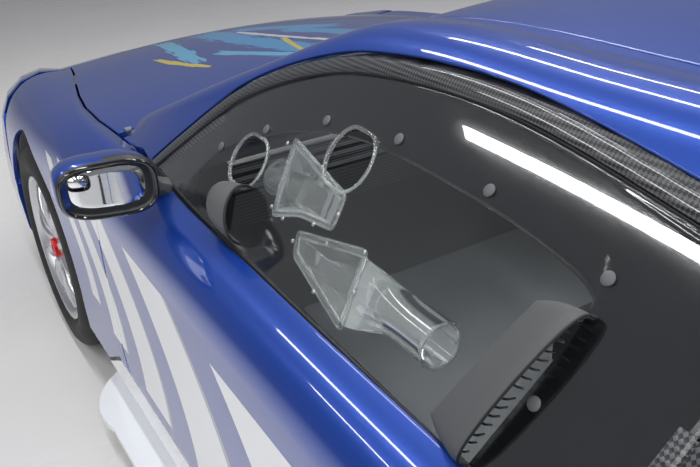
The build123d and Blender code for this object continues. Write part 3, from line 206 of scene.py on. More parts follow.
def from_above(which, points, count):
    """A curve on the body over a plan-view line of (x, y) points in metres."""
    p = spread(points, count)
    return np.stack([p[:, 0], s_where(which, p[:, 0], p[:, 1], WIDTH)], 1)


def patch(bottom, top, left, right):
    """A grid between four edge curves: the two ruled surfaces added, less the corners' own."""
    nu, nv = len(bottom), len(left)
    u, v = np.linspace(0, 1, nu)[:, None, None], np.linspace(0, 1, nv)[None, :, None]
    corners = (1 - v) * ((1 - u) * bottom[0] + u * bottom[-1]) + v * ((1 - u) * top[0] + u * top[-1])
    return (1 - v) * bottom[:, None] + v * top[:, None] + (1 - u) * left[None] + u * right[None] - corners


def with_close_edges(grid, width=0.002):
    """The grid with one more row a hair inside each edge, so that the rolled edge stays tight."""
    for axis in (0, 1):
        g = np.moveaxis(grid, axis, 0)
        share = min(0.3, width / np.abs(g[1] - g[0]).max())
        g = np.concatenate([g[:1], g[:1] + (g[1:2] - g[:1]) * share, g[1:-1],
                            g[-1:] + (g[-2:-1] - g[-1:]) * share, g[-1:]])
        grid = np.moveaxis(g, 0, axis)
    return grid


def add_mesh(name, points, faces, material=None, smooth=True):
    """A mesh object from points and faces."""
    mesh = bpy.data.meshes.new(name)
    faces = faces.tolist() if isinstance(faces, np.ndarray) else faces
    mesh.from_pydata(np.asarray(points, float).tolist(), [], faces)
    mesh.polygons.foreach_set("use_smooth", np.full(len(mesh.polygons), smooth))
    obj = bpy.data.objects.new(name, mesh)
    scene.collection.objects.link(obj)
    if material:
        mesh.materials.append(material)
    return obj


def grid_faces(nu, nv):
    """The quads of a grid of nu by nv points."""
    a, b = np.meshgrid(np.arange(nu - 1), np.arange(nv - 1), indexing="ij")
    c = a + 1
    return np.stack([a * nv + b, c * nv + b, c * nv + b + 1, a * nv + b + 1], -1).reshape(-1, 4)


def grid_border(nu, nv):
    """The indices of a grid's outer points, once round."""
    index = np.arange(nu * nv).reshape(nu, nv)
    return np.concatenate([index[:-1, 0], index[-1, :-1], index[:0:-1, -1], index[0, :0:-1]])


def panel(name, which, grid, material, thickness=0.012, roll=0.0016, mirror=False, lift=0.0):
    """A sheet panel over a grid of (x, s) points, its edges rolled over and turned in by a thickness."""
    grid = with_close_edges(grid)
    nu, nv = grid.shape[:2]
    depth = np.full((nu, nv), -lift)
    depth[[0, -1]] += roll * 0.4
    depth[1:-1, [0, -1]] += roll * 0.4
    top = body_inside(which, grid[..., 0], grid[..., 1], depth).reshape(-1, 3)
    loop = grid_border(nu, nv)
    edge = grid.reshape(-1, 2)[loop]
    rings = [body_inside(which, edge[:, 0], edge[:, 1], np.full(len(edge), d - lift))
             for d in (roll * 1.4, thickness)]
    points = np.concatenate([top] + rings)
    count = len(loop)
    following = np.roll(np.arange(count), -1)
    first, second = nu * nv + np.arange(count), nu * nv + count + np.arange(count)
    faces = [grid_faces(nu, nv)]
    for a, b in ((loop, first), (first, second)):
        faces.append(np.stack([a, b, b[following], a[following]], 1))
    faces = np.concatenate(faces)
    a, b, c = top[faces[0][0]], top[faces[0][1]], top[faces[0][2]]
    outward = top[0] - body_inside(which, grid[0, 0, 0], grid[0, 0, 1], np.array(0.05))
    if np.dot(np.cross(b - a, c - a), outward) < 0:
        faces = faces[:, ::-1]
    if mirror:
        points = points * (1, -1, 1)
        faces = faces[:, ::-1]
    return add_mesh(name, points, faces, material)


def new_material(name, color, roughness, metallic=0.0, coat=0.0, transmission=0.0, ior=1.5):
    """A material with one principled shader."""
    material = bpy.data.materials.new(name)
    material.use_nodes = True
    shader = material.node_tree.nodes["Principled BSDF"]
    shader.inputs["Base Color"].default_value = (*color, 1)
    shader.inputs["Roughness"].default_value = roughness
    shader.inputs["Metallic"].default_value = metallic
    shader.inputs["Coat Weight"].default_value = coat
    shader.inputs["Coat Roughness"].default_value = 0.03
    shader.inputs["Transmission Weight"].default_value = transmission
    shader.inputs["IOR"].default_value = ior
    return material


class Nodes:
    """Short names for adding and joining a material's nodes."""

    def __init__(self, material):
        self.tree = material.node_tree
        self.shader = self.tree.nodes["Principled BSDF"]
        self.coordinates = self.tree.nodes.new("ShaderNodeTexCoord").outputs["Object"]

    def join(self, source, target):
        self.tree.links.new(source, target)

    def math(self, operation, a, b=None):
        node = self.tree.nodes.new("ShaderNodeMath")
        node.operation = operation
        for socket, value in zip(node.inputs, (a, b)):
            if isinstance(value, (int, float)):
                socket.default_value = value
            elif value is not None:
                self.join(value, socket)
        return node.outputs[0]

    def axes(self):
        node = self.tree.nodes.new("ShaderNodeSeparateXYZ")
        self.join(self.coordinates, node.inputs[0])
        return node.outputs

    def noise(self, scale, detail, vector=None):
        node = self.tree.nodes.new("ShaderNodeTexNoise")
        node.inputs["Scale"].default_value = scale
        node.inputs["Detail"].default_value = detail
        self.join(vector or self.coordinates, node.inputs["Vector"])
        return node.outputs["Fac"]

    def mix(self, share, a, b):
        node = self.tree.nodes.new("ShaderNodeMix")
        node.data_type = "RGBA"
        self.join(share, node.inputs["Factor"])
        for socket, value in zip((node.inputs["A"], node.inputs["B"]), (a, b)):
            if isinstance(value, tuple):
                socket.default_value = (*value, 1)
            else:
                self.join(value, socket)
        return node.outputs["Result"]

    def bump(self, height, strength, distance):
        node = self.tree.nodes.new("ShaderNodeBump")
        node.inputs["Strength"].default_value = strength
        node.inputs["Distance"].default_value = distance
        self.join(height, node.inputs["Height"])
        self.join(node.outputs["Normal"], self.shader.inputs["Normal"])

    def roughness(self, source, low, high):
        node = self.tree.nodes.new("ShaderNodeMapRange")
        node.inputs["To Min"].default_value = low
        node.inputs["To Max"].default_value = high
        self.join(source, node.inputs["Value"])
        self.join(node.outputs["Result"], self.shader.inputs["Roughness"])


BLUE = (0.002, 0.050, 0.36)
WHITE = (0.84, 0.86, 0.90)


def bar(n, u, w, centre, half, width, lean, bend):
    """1 inside a leaning bar: its length runs along w, and its middle bends aside with the square of w."""
    along = n.math("SUBTRACT", w, centre[1])
    swept = n.math("MULTIPLY", n.math("MULTIPLY", along, along), bend)
    shift = n.math("ADD", n.math("MULTIPLY", along, lean), swept)
    across = n.math("ABSOLUTE", n.math("SUBTRACT", n.math("SUBTRACT", u, centre[0]), shift))
    inside = n.math("LESS_THAN", across, width)
    return n.math("MULTIPLY", inside, n.math("LESS_THAN", n.math("ABSOLUTE", along), half))


def blue_paint(name, design=None):
    """Metallic blue under clear coat: fine flakes tilt the surface, and broad ones vary the tone slightly."""
    material = new_material(name, BLUE, 0.32, metallic=0.45, coat=1.0)
    n = Nodes(material)
    flakes = n.noise(2600.0, 1.0)
    tone = n.mix(n.noise(2.2, 2.0), BLUE, tuple(0.82 * c for c in BLUE))
    n.join(design(n, tone) if design else tone, n.shader.inputs["Base Color"])
    n.bump(flakes, 0.05, 0.0004)
    return material


# Each bar's middle as x and z, half its length, half its width, its lean and its bend
SIDE_BARS = [
    ((0.99, 0.60), 0.160, 0.034, 0.85, 2.6), ((0.82, 0.59), 0.190, 0.052, 0.80, 2.2),
    ((0.57, 0.57), 0.205, 0.078, 0.72, 1.9), ((0.22, 0.55), 0.215, 0.115, 0.66, 1.6),
    ((-0.24, 0.53), 0.215, 0.150, 0.60, 1.4),
]
BAR_EDGE = (0.30, 0.32, 0.40)


def side_design(n, tone):
    """White swept bars on the door and front wing, with grey rear edges, wider towards the rear."""
    x, _, z = n.axes()
    white = None
    grey = None
    for centre, half, width, lean, bend in SIDE_BARS:
        part = bar(n, x, z, centre, half, width, lean, bend)
        edge = bar(n, x, z, (centre[0] - width * 0.9, centre[1]), half, width * 0.28, lean, bend)
        white = part if white is None else n.math("MAXIMUM", white, part)
        grey = edge if grey is None else n.math("MAXIMUM", grey, edge)
    return n.mix(white, n.mix(grey, tone, BAR_EDGE), WHITE)


paint_side = blue_paint("door paint", side_design)
paint_plain = blue_paint("body paint")

REAR_LOW, REAR_HIGH = (-0.560, 0.330), (-0.668, 1.215)
BELT_Z = 0.8868
SHUT_GAP = 0.007
DOOR_FRONT = [(0.700, 0.330), (0.722, 0.350), (0.745, 0.430), (0.757, 0.560), (0.750, 0.700), (0.748, 0.885)]


def rear_edge(z):
    """The door's rear shut line at a height."""
    return REAR_LOW[0] + (REAR_HIGH[0] - REAR_LOW[0]) * (z - REAR_LOW[1]) / (REAR_HIGH[1] - REAR_LOW[1])


def softened(points, passes=2):
    """A line with its corners cut, each pass replacing a corner by the quarter points beside it."""
    p = np.asarray(points, float)
    for _ in range(passes):
        cut = np.stack([p[:-1] * 0.75 + p[1:] * 0.25, p[:-1] * 0.25 + p[1:] * 0.75], 1)
        p = np.concatenate([p[:1], cut.reshape(-1, p.shape[1])[1:-1], p[-1:]])
    return p


def belt_width(x):
    """How far out the window sheet stands at the belt, by x."""
    return body_point("upper", x, s_where("upper", x, np.full(len(x), 0.886), HEIGHT))[:, 1]


top_x = np.linspace(rear_edge(0.885), 0.748, 170)
door_top = np.stack([top_x, s_where("lower", top_x, belt_width(top_x) + 0.003, WIDTH)], 1)
door_bottom = from_side("lower", [REAR_LOW, (0.700, 0.330)], 170)


def even(curve, count):
    """A curve of (x, s) points, evenly spaced, with s counted as 1.6 m from rocker to rocker."""
    return spread(curve * GIRTH, count) / GIRTH


def upright(which, line, top_s, count=110):
    """An edge curve up a side-view line, then on to a given s at the line's last x."""
    low = from_side(which, line, 400)
    return even(np.concatenate([low, [(low[-1, 0], top_s)]]), count)


door_rear = upright("lower", [REAR_LOW, (rear_edge(0.86), 0.86)], door_top[0, 1])
door_front = upright("lower", softened(DOOR_FRONT)[:-1], door_top[-1, 1])
door_rear[-1], door_front[-1] = door_top[0], door_top[-1]
door_rear[0], door_front[0] = door_bottom[0], door_bottom[-1]
door_grid = patch(door_bottom, door_top, door_rear, door_front)
for side, mirror in (("left", False), ("right", True)):
    skin = panel(f"door_skin_{side}", "lower", door_grid, paint_side, mirror=mirror)
    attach(skin, f"door_{side}")

# The front wings
# Pressed sheet like the doors, cut round over the wheel and folded inwards at the wheel arch.
AXLE_Z = 0.340
FRONT_AXLE_X, REAR_AXLE_X = 1.475, -1.305
ARCH_RADIUS = 0.388
BONNET_SIDE = [(0.940, 0.8155), (1.10, 0.815), (1.29, 0.801), (1.475, 0.7715), (1.66, 0.734), (1.84, 0.694),
               (2.000, 0.6655)]


def arch_line(axle_x, first, last, count=60):
    """Side-view points round a wheel arch, from one angle to another in degrees."""
    t = np.radians(np.linspace(first, last, count))
    return np.stack([axle_x + ARCH_RADIUS * np.cos(t), AXLE_Z + ARCH_RADIUS * np.sin(t)], 1)


def joined(*curves):
    """Curves of (x, s) points put end to end."""
    return np.concatenate([curves[0]] + [c[1:] for c in curves[1:]])


WING_FOOT = (1.056, 0.168)
arch_front = np.concatenate([[WING_FOOT, (1.078, 0.27), (1.087, 0.33)], arch_line(FRONT_AXLE_X, 176, 16)])
wing_bottom = even(from_side("lower", arch_front, 500), 220)
front_line = softened([(p[0] + SHUT_GAP, p[1]) for p in DOOR_FRONT[::-1]])
wing_top_corner = from_above("lower", [(0.755, 0.8155), (0.7551, 0.8155)], 2)[:1]
wing_sill = from_side("lower", [WING_FOOT, (0.790, 0.333), (0.709, 0.333)], 80)
wing_shut = from_side("lower", front_line[front_line[:, 1] < 0.84][::-1], 300)
wing_left = even(joined(wing_sill, wing_shut, wing_top_corner), 120)
wing_top = even(joined(wing_top_corner, from_above("lower", [(0.7552, 0.8155)] + BONNET_SIDE, 400)), 220)
wing_right = even(np.linspace(wing_bottom[-1], wing_top[-1], 120), 120)
wing_left[0], wing_right[0] = wing_bottom[0], wing_bottom[-1]
wing_left[-1], wing_right[-1] = wing_top[0], wing_top[-1]
wing_grid = patch(wing_bottom, wing_top, wing_left, wing_right)
for side, mirror in (("left", False), ("right", True)):
    wing = panel(f"front_wing_{side}", "lower", wing_grid, paint_side, mirror=mirror)
    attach(wing, "body")
    if side == "left":
        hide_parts("front_fenders")

# The bonnet
# One long pressed lid between the wings, in blue with loose brush strokes painted over it.
BONNET_REAR = [(1.038, 0.0), (1.035, 0.205), (1.012, 0.410), (0.980, 0.62), (0.944, 0.8085)]
BONNET_NOSE = [(2.078, 0.0), (2.066, 0.25), (2.040, 0.48), (1.998, 0.659)]


def brush(n, u, w, centre, angle, length, width, seed, bend):
    """1 inside one painted stroke: a leaning bar whose edges and ends are frayed by stretched noise."""
    c, s = math.cos(angle), math.sin(angle)
    du, dw = n.math("SUBTRACT", u, centre[0]), n.math("SUBTRACT", w, centre[1])
    along = n.math("ADD", n.math("MULTIPLY", du, c), n.math("MULTIPLY", dw, s))
    across = n.math("SUBTRACT", n.math("MULTIPLY", dw, c), n.math("MULTIPLY", du, s))
    across = n.math("ADD", across, n.math("MULTIPLY", n.math("MULTIPLY", along, along), bend))
    node = n.tree.nodes.new("ShaderNodeCombineXYZ")
    n.join(n.math("MULTIPLY", along, 9.0), node.inputs[0])
    n.join(n.math("MULTIPLY", across, 70.0), node.inputs[1])
    node.inputs[2].default_value = seed
    fray = n.math("MULTIPLY", n.math("SUBTRACT", n.noise(1.0, 4.0, node.outputs[0]), 0.5), width * 2.4)
    inside = n.math("LESS_THAN", n.math("ADD", n.math("ABSOLUTE", across), fray), width)
    reach = n.math("ADD", n.math("ABSOLUTE", along), n.math("MULTIPLY", fray, 3.0))
    return n.math("MULTIPLY", inside, n.math("LESS_THAN", reach, length))


CYAN = (0.02, 0.33, 0.72)
PALE_CYAN = (0.10, 0.50, 0.80)
YELLOW = (0.80, 0.62, 0.03)
# Each stroke's middle as x and y, its angle, half length, half width, seed, colour and bend
BRUSH_STROKES = [
    ((1.62, 0.10), 0.15, 0.42, 0.060, 1.0, CYAN, 0.15), ((1.42, -0.24), 0.35, 0.36, 0.050, 2.0, CYAN, -0.2),
    ((1.74, 0.34), -0.12, 0.26, 0.030, 3.0, PALE_CYAN, 0.0),
    ((1.34, 0.16), 0.55, 0.24, 0.026, 4.0, PALE_CYAN, 0.3),
    ((1.80, -0.12), 0.85, 0.20, 0.045, 5.0, CYAN, 0.0), ((1.52, 0.42), 0.22, 0.16, 0.014, 6.0, YELLOW, 0.5),
    ((1.44, 0.04), -0.25, 0.14, 0.011, 7.0, YELLOW, 0.0), ((1.58, -0.02), 0.30, 0.30, 0.014, 8.0, WHITE, 0.2),
    ((1.30, -0.34), 0.10, 0.20, 0.012, 9.0, WHITE, 0.0),
]


def bonnet_design(n, tone):
    """Loose cyan, yellow and white strokes over the front of the lid."""
    x, y, _ = n.axes()
    color = tone
    for centre, angle, length, width, seed, shade, bend in BRUSH_STROKES:
        color = n.mix(brush(n, x, y, centre, angle, length, width, seed, bend), color, shade)
    return color


paint_bonnet = blue_paint("bonnet paint", bonnet_design)
side_x = np.linspace(0.944, 1.998, 400)
side_y = np.interp(side_x, *np.transpose(BONNET_SIDE)) - SHUT_GAP
bonnet_left = even(np.stack([side_x, s_where("lower", side_x, side_y, WIDTH)], 1), 200)


def across(which, line, count):
    """A plan line from the centre to the left edge, carried over to the right side."""
    half = from_above(which, line, count)
    return np.concatenate([half[::-1], (half * (1, -1) + (0, 1))[1:]])


rear_line = even(across("lower", BONNET_REAR, 90), 161)
nose_line = even(across("lower", BONNET_NOSE, 90), 161)
bonnet_right = bonnet_left * (1, -1) + (0, 1)
bonnet_grid = patch(bonnet_left, bonnet_right, rear_line, nose_line)
lid = panel("bonnet_skin", "lower", bonnet_grid, paint_bonnet, thickness=0.014)
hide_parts("bonnet")
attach(lid, "bonnet")

# The upper body side
# Windscreen pillar and cant rail, pressed as one panel along the top of the door opening.
FRAME_TOP = [(0.676, 0.870), (0.664, 0.885), (0.572, 0.968), (0.440, 1.078), (0.285, 1.153), (0.110, 1.199),
             (-0.195, 1.218), (-0.560, 1.183), (-0.668, 1.162)]


def frame_line(margin, count=200):
    """The window frame's top edge from the tail to the front tip, moved inwards by a margin in side view."""
    rows = np.array(FRAME_TOP[::-1])
    xs = np.linspace(rows[0, 0], rows[-1, 0], 600)
    line = np.stack([xs, columns_at(rows, xs)[:, 1]], 1)
    tangent = np.gradient(line, axis=0)
    tangent /= np.linalg.norm(tangent, axis=1, keepdims=True)
    line = line + np.stack([tangent[:, 1], -tangent[:, 0]], 1) * margin
    return spread(line[line[:, 1] > BELT_Z - 0.0006], count)


pillar_foot = [(0.676, 0.8885), (0.748, 0.887), (0.80, 0.874), (0.86, 0.862), (0.90, 0.850)]
above_frame = frame_line(-SHUT_GAP)
above_frame = above_frame[(above_frame[:, 0] > -0.664) & (above_frame[:, 1] > 0.889)]
rail_low = even(from_side("upper", np.concatenate([above_frame, pillar_foot]), 500), 240)
screen_side = [(0.884, 0.6975), (0.516, 0.5915), (0.148, 0.4695)]
roof_side = [(0.148, 0.4695), (-0.10, 0.4430), (-0.354, 0.4365), (-0.664, 0.4450)]
roof_seam = np.concatenate([softened(roof_side[::-1]), screen_side[::-1][1:]])
rail_high = even(from_above("upper", roof_seam, 500), 240)
rail_low[0, 0] = rail_high[0, 0] = -0.664
rail_ends = [np.linspace(rail_low[k], rail_high[k], 70) for k in (0, -1)]
rail_grid = patch(rail_low, rail_high, *rail_ends)
for side, mirror in (("left", False), ("right", True)):
    rail = panel(f"cant_rail_{side}", "upper", rail_grid, paint_plain, 0.006, mirror=mirror, lift=0.0008)
    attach(rail, "body")

# The roof
# A pressed skin let in between the two cant rails, a shut line wide, painted with them.
ROOF_FRONT = [(0.1855, 0.0), (0.175, 0.231), (0.1435, 0.4625)]
ROOF_REAR = [(-0.886, 0.0), (-0.878, 0.222), (-0.852, 0.4445)]
roof_edge = softened([(-0.852, 0.4445), (-0.60, 0.4295), (-0.354, 0.4295), (-0.10, 0.436), (0.1435, 0.4625)])
roof_left = even(from_above("upper", roof_edge, 400), 160)
roof_right = roof_left * (1, -1) + (0, 1)
roof_ends = [even(across("upper", line, 60), 121) for line in (ROOF_REAR, ROOF_FRONT)]
roof_grid = patch(roof_left, roof_right, *roof_ends)
roof = panel("roof_skin", "upper", roof_grid, paint_plain, thickness=0.008, lift=-0.0008)
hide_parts("roof_panel")
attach(roof, "body")

# The window sheets
# One clear polycarbonate sheet a side, five millimetres thick, bent to the body and let into the frame.
sheet_x = np.linspace(-0.74, 0.74, 97)
sheet_z = np.linspace(0.86, 1.25, 79)
around = np.linspace(0, 0.5, 600)
rows = []
for station in sheet_x:
    line = body_point("upper", np.full(600, station), around)
    rows.append(np.interp(sheet_z, np.maximum.accumulate(line[:, 2]), line[:, 1]))
SHEET = np.array(rows)[..., None]


def sheet_width(x, z):
    """How far out the body's surface stands at each x and z."""
    i = (x - sheet_x[0]) / (sheet_x[1] - sheet_x[0])
    j = (z - sheet_z[0]) / (sheet_z[1] - sheet_z[0])
    return looked_up(SHEET, i, j)[..., 0]


def sheet_point(xz, depth=0.0):
    """A point on the left window, moved inwards along its normal by a depth."""
    x, z = xz[..., 0], xz[..., 1]
    h = 0.004
    slope_x = (sheet_width(x + h, z) - sheet_width(x - h, z)) / (2 * h)
    slope_z = (sheet_width(x, z + h) - sheet_width(x, z - h)) / (2 * h)
    normal = np.stack([-slope_x, np.ones_like(slope_x), -slope_z], -1)
    normal /= np.linalg.norm(normal, axis=-1, keepdims=True)
    return np.stack([x, sheet_width(x, z), z], -1) - normal * np.asarray(depth)[..., None]


def facing_outwards(obj):
    """The object with every face of its closed pieces turned outwards."""
    form = bmesh.new()
    form.from_mesh(obj.data)
    bmesh.ops.recalc_face_normals(form, faces=form.faces)
    if form.calc_volume(signed=True) < 0:
        bmesh.ops.reverse_faces(form, faces=form.faces)
    form.to_mesh(obj.data)
    form.free()


def both_sides(name, points, faces, material, body=None, slot=None, smooth=True):
    """The same piece on the left and, mirrored, on the right, riding on that side's body."""
    made = []
    for side, sign in (("left", 1), ("right", -1)):
        obj = add_mesh(f"{name}_{side}", points * (1, sign, 1), faces, material, smooth)
        facing_outwards(obj)
        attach(obj, f"{body}_{side}" if body else "body")
        made.append(obj)
    return made


def facing_out(points, faces):
    """The faces, turned over where the closed piece they make has a negative volume."""
    a, b, c, d = (points[faces[:, k]] for k in range(4))
    volume = (a * np.cross(b, c)).sum() + (a * np.cross(c, d)).sum()
    return faces[:, ::-1] if volume < 0 else faces


def doubled(outer, inner):
    """Two grids of points as one closed piece: a face on each, and a wall round the edge between them."""
    n, m = outer.shape[:2]
    a = grid_border(n, m)
    b = np.roll(a, -1)
    faces = np.concatenate([grid_faces(n, m), grid_faces(n, m)[:, ::-1] + n * m,
                            np.stack([a, a + n * m, b + n * m, b], 1)])
    points = np.concatenate([outer.reshape(-1, 3), inner.reshape(-1, 3)])
    return points, facing_out(points, faces)


def slab(grid, outer, inner):
    """A closed plate over a grid of (x, z) points between two depths under the body's surface."""
    return doubled(sheet_point(grid, outer), sheet_point(grid, inner))


# Depths under the body's surface are in metres, and margins run inwards from the frame's top edge
SHEET_MARGIN = 0.0225
SHEET_DEPTHS = (0.003, 0.008)
HOLE_SIZE = (0.107, 0.076)
sheet_top = frame_line(SHEET_MARGIN, 160)
sheet_top = sheet_top[sheet_top[:, 0] > -0.640]
sheet_foot = np.array([rear_edge(BELT_Z) + 0.0265, BELT_Z])
sheet_bottom = spread([sheet_foot, (sheet_top[-1, 0] + 0.004, BELT_Z)], 160)
sheet_top = spread(sheet_top, 160)
sheet_rear = spread([sheet_foot, sheet_top[0]], 60)
sheet_front = spread([sheet_bottom[-1], sheet_top[-1]], 60)
sheet_grid = patch(sheet_bottom, sheet_top, sheet_rear, sheet_front)
clear = new_material("clear polycarbonate", (0.97, 0.985, 0.98), 0.015, transmission=1.0, ior=1.49)
points, faces = slab(sheet_grid, *SHEET_DEPTHS)
WINDOW_HOLES = [(0.287, 1.000), (0.031, 1.076)]


def stadium(centre, length, height, count=48):
    """An upright-ended oval round a centre in side view: two half circles joined by straight sides."""
    r = height / 2
    t = np.linspace(0, 2 * math.pi, count, endpoint=False)
    side = np.where(np.cos(t) >= 0, 1, -1) * (length / 2 - r)
    return np.stack([centre[0] + side + r * np.cos(t), centre[1] + r * np.sin(t)], 1)


def without_holes(obj, cutters):
    """The object with the cutters' shapes taken out and its mesh made final."""
    for cutter in cutters:
        modifier = obj.modifiers.new("hole", "BOOLEAN")
        modifier.object = cutter
        modifier.operation = "DIFFERENCE"
        modifier.solver = "MANIFOLD"
    graph = bpy.context.evaluated_depsgraph_get()
    mesh = bpy.data.meshes.new_from_object(obj.evaluated_get(graph))
    obj.modifiers.clear()
    obj.data = mesh
    for cutter in cutters:
        bpy.data.objects.remove(cutter)
    facing_outwards(obj)


def prism(points_near, points_far):
    """A closed prism between two rings of points."""
    n = len(points_near)
    a = np.arange(n)
    sides = np.stack([a, np.roll(a, -1), np.roll(a, -1) + n, a + n], 1).tolist()
    return np.concatenate([points_near, points_far]), sides + [a[::-1].tolist(), (a + n).tolist()]


for side, sign in (("left", 1), ("right", -1)):
    sheet = add_mesh(f"window_sheet_{side}", points * (1, sign, 1), faces, clear)
    facing_outwards(sheet)
    cutters = []
    for centre in WINDOW_HOLES:
        ring = stadium(centre, *HOLE_SIZE)
        shape, walls = prism(sheet_point(ring, -0.02) * (1, sign, 1), sheet_point(ring, 0.03) * (1, sign, 1))
        cutters.append(add_mesh("cutter", shape, walls))
        facing_outwards(cutters[-1])
    without_holes(sheet, cutters)
    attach(sheet, f"door_{side}")
    if side == "left":
        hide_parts("door_window_left")
    else:
        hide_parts("door_window_right")

# The black window borders
# Glossy black paint on the sheet's inner face, wide along the top and at the rear.
gloss_black = new_material("gloss black", (0.004, 0.004, 0.005), 0.08, coat=1.0)
BORDER_INNER = [(0.440, BELT_Z), (0.452, 0.915), (0.425, 0.955), (0.374, 1.000), (0.300, 1.035),
                (0.196, 1.073), (0.072, 1.100), (-0.058, 1.108), (-0.270, 1.105), (-0.380, 1.096),
                (-0.452, 1.083), (-0.461, 1.062), (-0.421, BELT_Z)]
BORDER_DEPTHS = (0.0081, 0.0086)
inner = spread(softened(BORDER_INNER), 240)
outer = spread(np.concatenate([[sheet_bottom[-1]], sheet_top[::-1], [sheet_foot]]), 900)
run = run_along(outer)
share = [run[np.argmin(((outer - p) ** 2).sum(1))] for p in inner]
share = np.maximum.accumulate(np.convolve(np.pad(share, 12, mode="edge"), np.ones(25) / 25, "valid"))
share = (share - share[0]) / (share[-1] - share[0]) * run[-1]
outer = np.stack([np.interp(share, run, outer[:, k]) for k in (0, 1)], 1)
t = np.linspace(0, 1, 12)[None, :, None]
border_grid = inner[:, None] * (1 - t) + outer[:, None] * t
both_sides("window_border", *slab(border_grid, *BORDER_DEPTHS), gloss_black, "door", "trim")

# The window frames' outer strips
# Woven carbon moulded over the frame's top edge, under clear resin, with a black rubber seal inside it.
WEAVE_TURNS = 520.0
WEAVE_DARK, WEAVE_PALE = (0.006, 0.006, 0.007), (0.075, 0.078, 0.085)


def woven_carbon():
    """Crossed strands: the product of two sines, one a diagonal, split at zero into dark and pale."""
    material = new_material("carbon weave", (0.02, 0.02, 0.022), 0.30, coat=1.0)
    n = Nodes(material)
    x, _, z = n.axes()
    x, z = n.math("MULTIPLY", x, WEAVE_TURNS), n.math("MULTIPLY", z, WEAVE_TURNS)
    weave = n.math("MULTIPLY", n.math("SINE", n.math("ADD", x, z)), n.math("SINE", n.math("SUBTRACT", x, z)))
    n.join(n.mix(n.math("GREATER_THAN", weave, 0.0), WEAVE_DARK, WEAVE_PALE), n.shader.inputs["Base Color"])
    n.bump(weave, 0.25, 0.0006)
    return material


carbon = woven_carbon()
rubber = new_material("rubber seal", (0.006, 0.006, 0.007), 0.55)
STRIP_MARGINS = (0.001, 0.0205)
STRIP_EDGE, STRIP_CROWN, STRIP_UNDER = -0.0012, 0.0022, 0.004
strip_outer, strip_inner = (frame_line(margin, 260) for margin in STRIP_MARGINS)
strip_t = np.linspace(0, 1, 9)[None, :, None]
strip_grid = strip_outer[:, None] * (1 - strip_t) + strip_inner[:, None] * strip_t
round_share = np.broadcast_to(1 - (2 * strip_t[..., 0] - 1) ** 4, strip_grid.shape[:2])
strip = slab(strip_grid, STRIP_EDGE - STRIP_CROWN * round_share, STRIP_UNDER)
both_sides("frame_strip", *strip, carbon, "door", "carbon")


def ring_faces(n, m, closed=True):
    """The quads of n rings of m points, with the last ring joined to the first one where closed."""
    i, j = np.meshgrid(np.arange(n if closed else n - 1), np.arange(m), indexing="ij")
    k, l = (i + 1) % n, (j + 1) % m
    return np.stack([i * m + j, i * m + l, k * m + l, k * m + j], -1).reshape(-1, 4)


def lofted(rings):
    """Rings of points joined into a closed shell with flat ends."""
    n, m = len(rings), len(rings[0])
    ends = [list(range(m))[::-1], list(range((n - 1) * m, n * m))]
    return np.concatenate(rings), ring_faces(n, m, closed=False).tolist() + ends


def tube(path, radius, sides=12, closed=False):
    """A closed round tube along a path: rings square to the path, kept from twisting by their last side."""
    path = np.asarray(path, float)
    tangent = np.roll(path, -1, 0) - np.roll(path, 1, 0) if closed else np.gradient(path, axis=0)
    tangent /= np.linalg.norm(tangent, axis=1, keepdims=True)
    side = np.cross(tangent[0], (0.3, 0.2, 0.93))
    rings = []
    for p, t, r in zip(path, tangent, np.broadcast_to(radius, len(path))):
        side = side - t * np.dot(side, t)
        side = side / np.linalg.norm(side)
        other = np.cross(t, side)
        a = np.linspace(0, 2 * math.pi, sides, endpoint=False)[:, None]
        rings.append(p + r * (np.cos(a) * side + np.sin(a) * other))
    return (np.concatenate(rings), ring_faces(len(rings), sides).tolist()) if closed else lofted(rings)


def merged(pieces):
    """Several lists of points and faces as one."""
    points, faces, start = [], [], 0
    for p, f in pieces:
        points.append(np.asarray(p, float).reshape(-1, 3))
        faces += [[start + v for v in face] for face in (f.tolist() if isinstance(f, np.ndarray) else f)]
        start += len(points[-1])
    return np.concatenate(points), faces


top_seal = tube(sheet_point(frame_line(SHEET_MARGIN, 220), 0.0035), 0.0022, 8)
foot_seal = tube(sheet_point(spread([sheet_foot, sheet_bottom[-1]], 60) + (0, -0.0008), 0.003), 0.0028, 8)
both_sides("window_seal", *merged([top_seal, foot_seal]), rubber, "door", "trim")

# The window fasteners, hole rims and screws
# Grey plastic caps hold the sheet to the frame; clear rings stiffen the two hand holes.
cap_grey = new_material("cap grey", (0.10, 0.105, 0.11), 0.5)
DOTS = [(0.397, 0.994), (0.281, 1.053), (0.132, 1.104), (-0.050, 1.125), (-0.251, 1.120), (-0.457, 1.099),
        (-0.458, 0.976)]
# The sheet's normal leans up: its share along y, and its share along z
SHEET_OUT, SHEET_UP = 0.794, 0.608


def domes(centres, radius, height, depth=0.003):
    """Round buttons on the sheet: rings of falling radius that rise as a quarter circle, closed below."""
    pieces = []
    a = np.linspace(0, 2 * math.pi, 24, endpoint=False)
    circle = radius * np.stack([np.cos(a), np.sin(a) * SHEET_OUT], 1)
    for centre in centres:
        rings = [sheet_point(centre + circle, depth + 0.001)]
        for t in np.linspace(0, math.pi / 2, 6)[:-1]:
            rings.append(sheet_point(centre + circle * math.cos(t), depth - height * math.sin(t)))
        points, faces = lofted(rings)
        pieces.append((points, [face[::-1] for face in faces]))
    return merged(pieces)


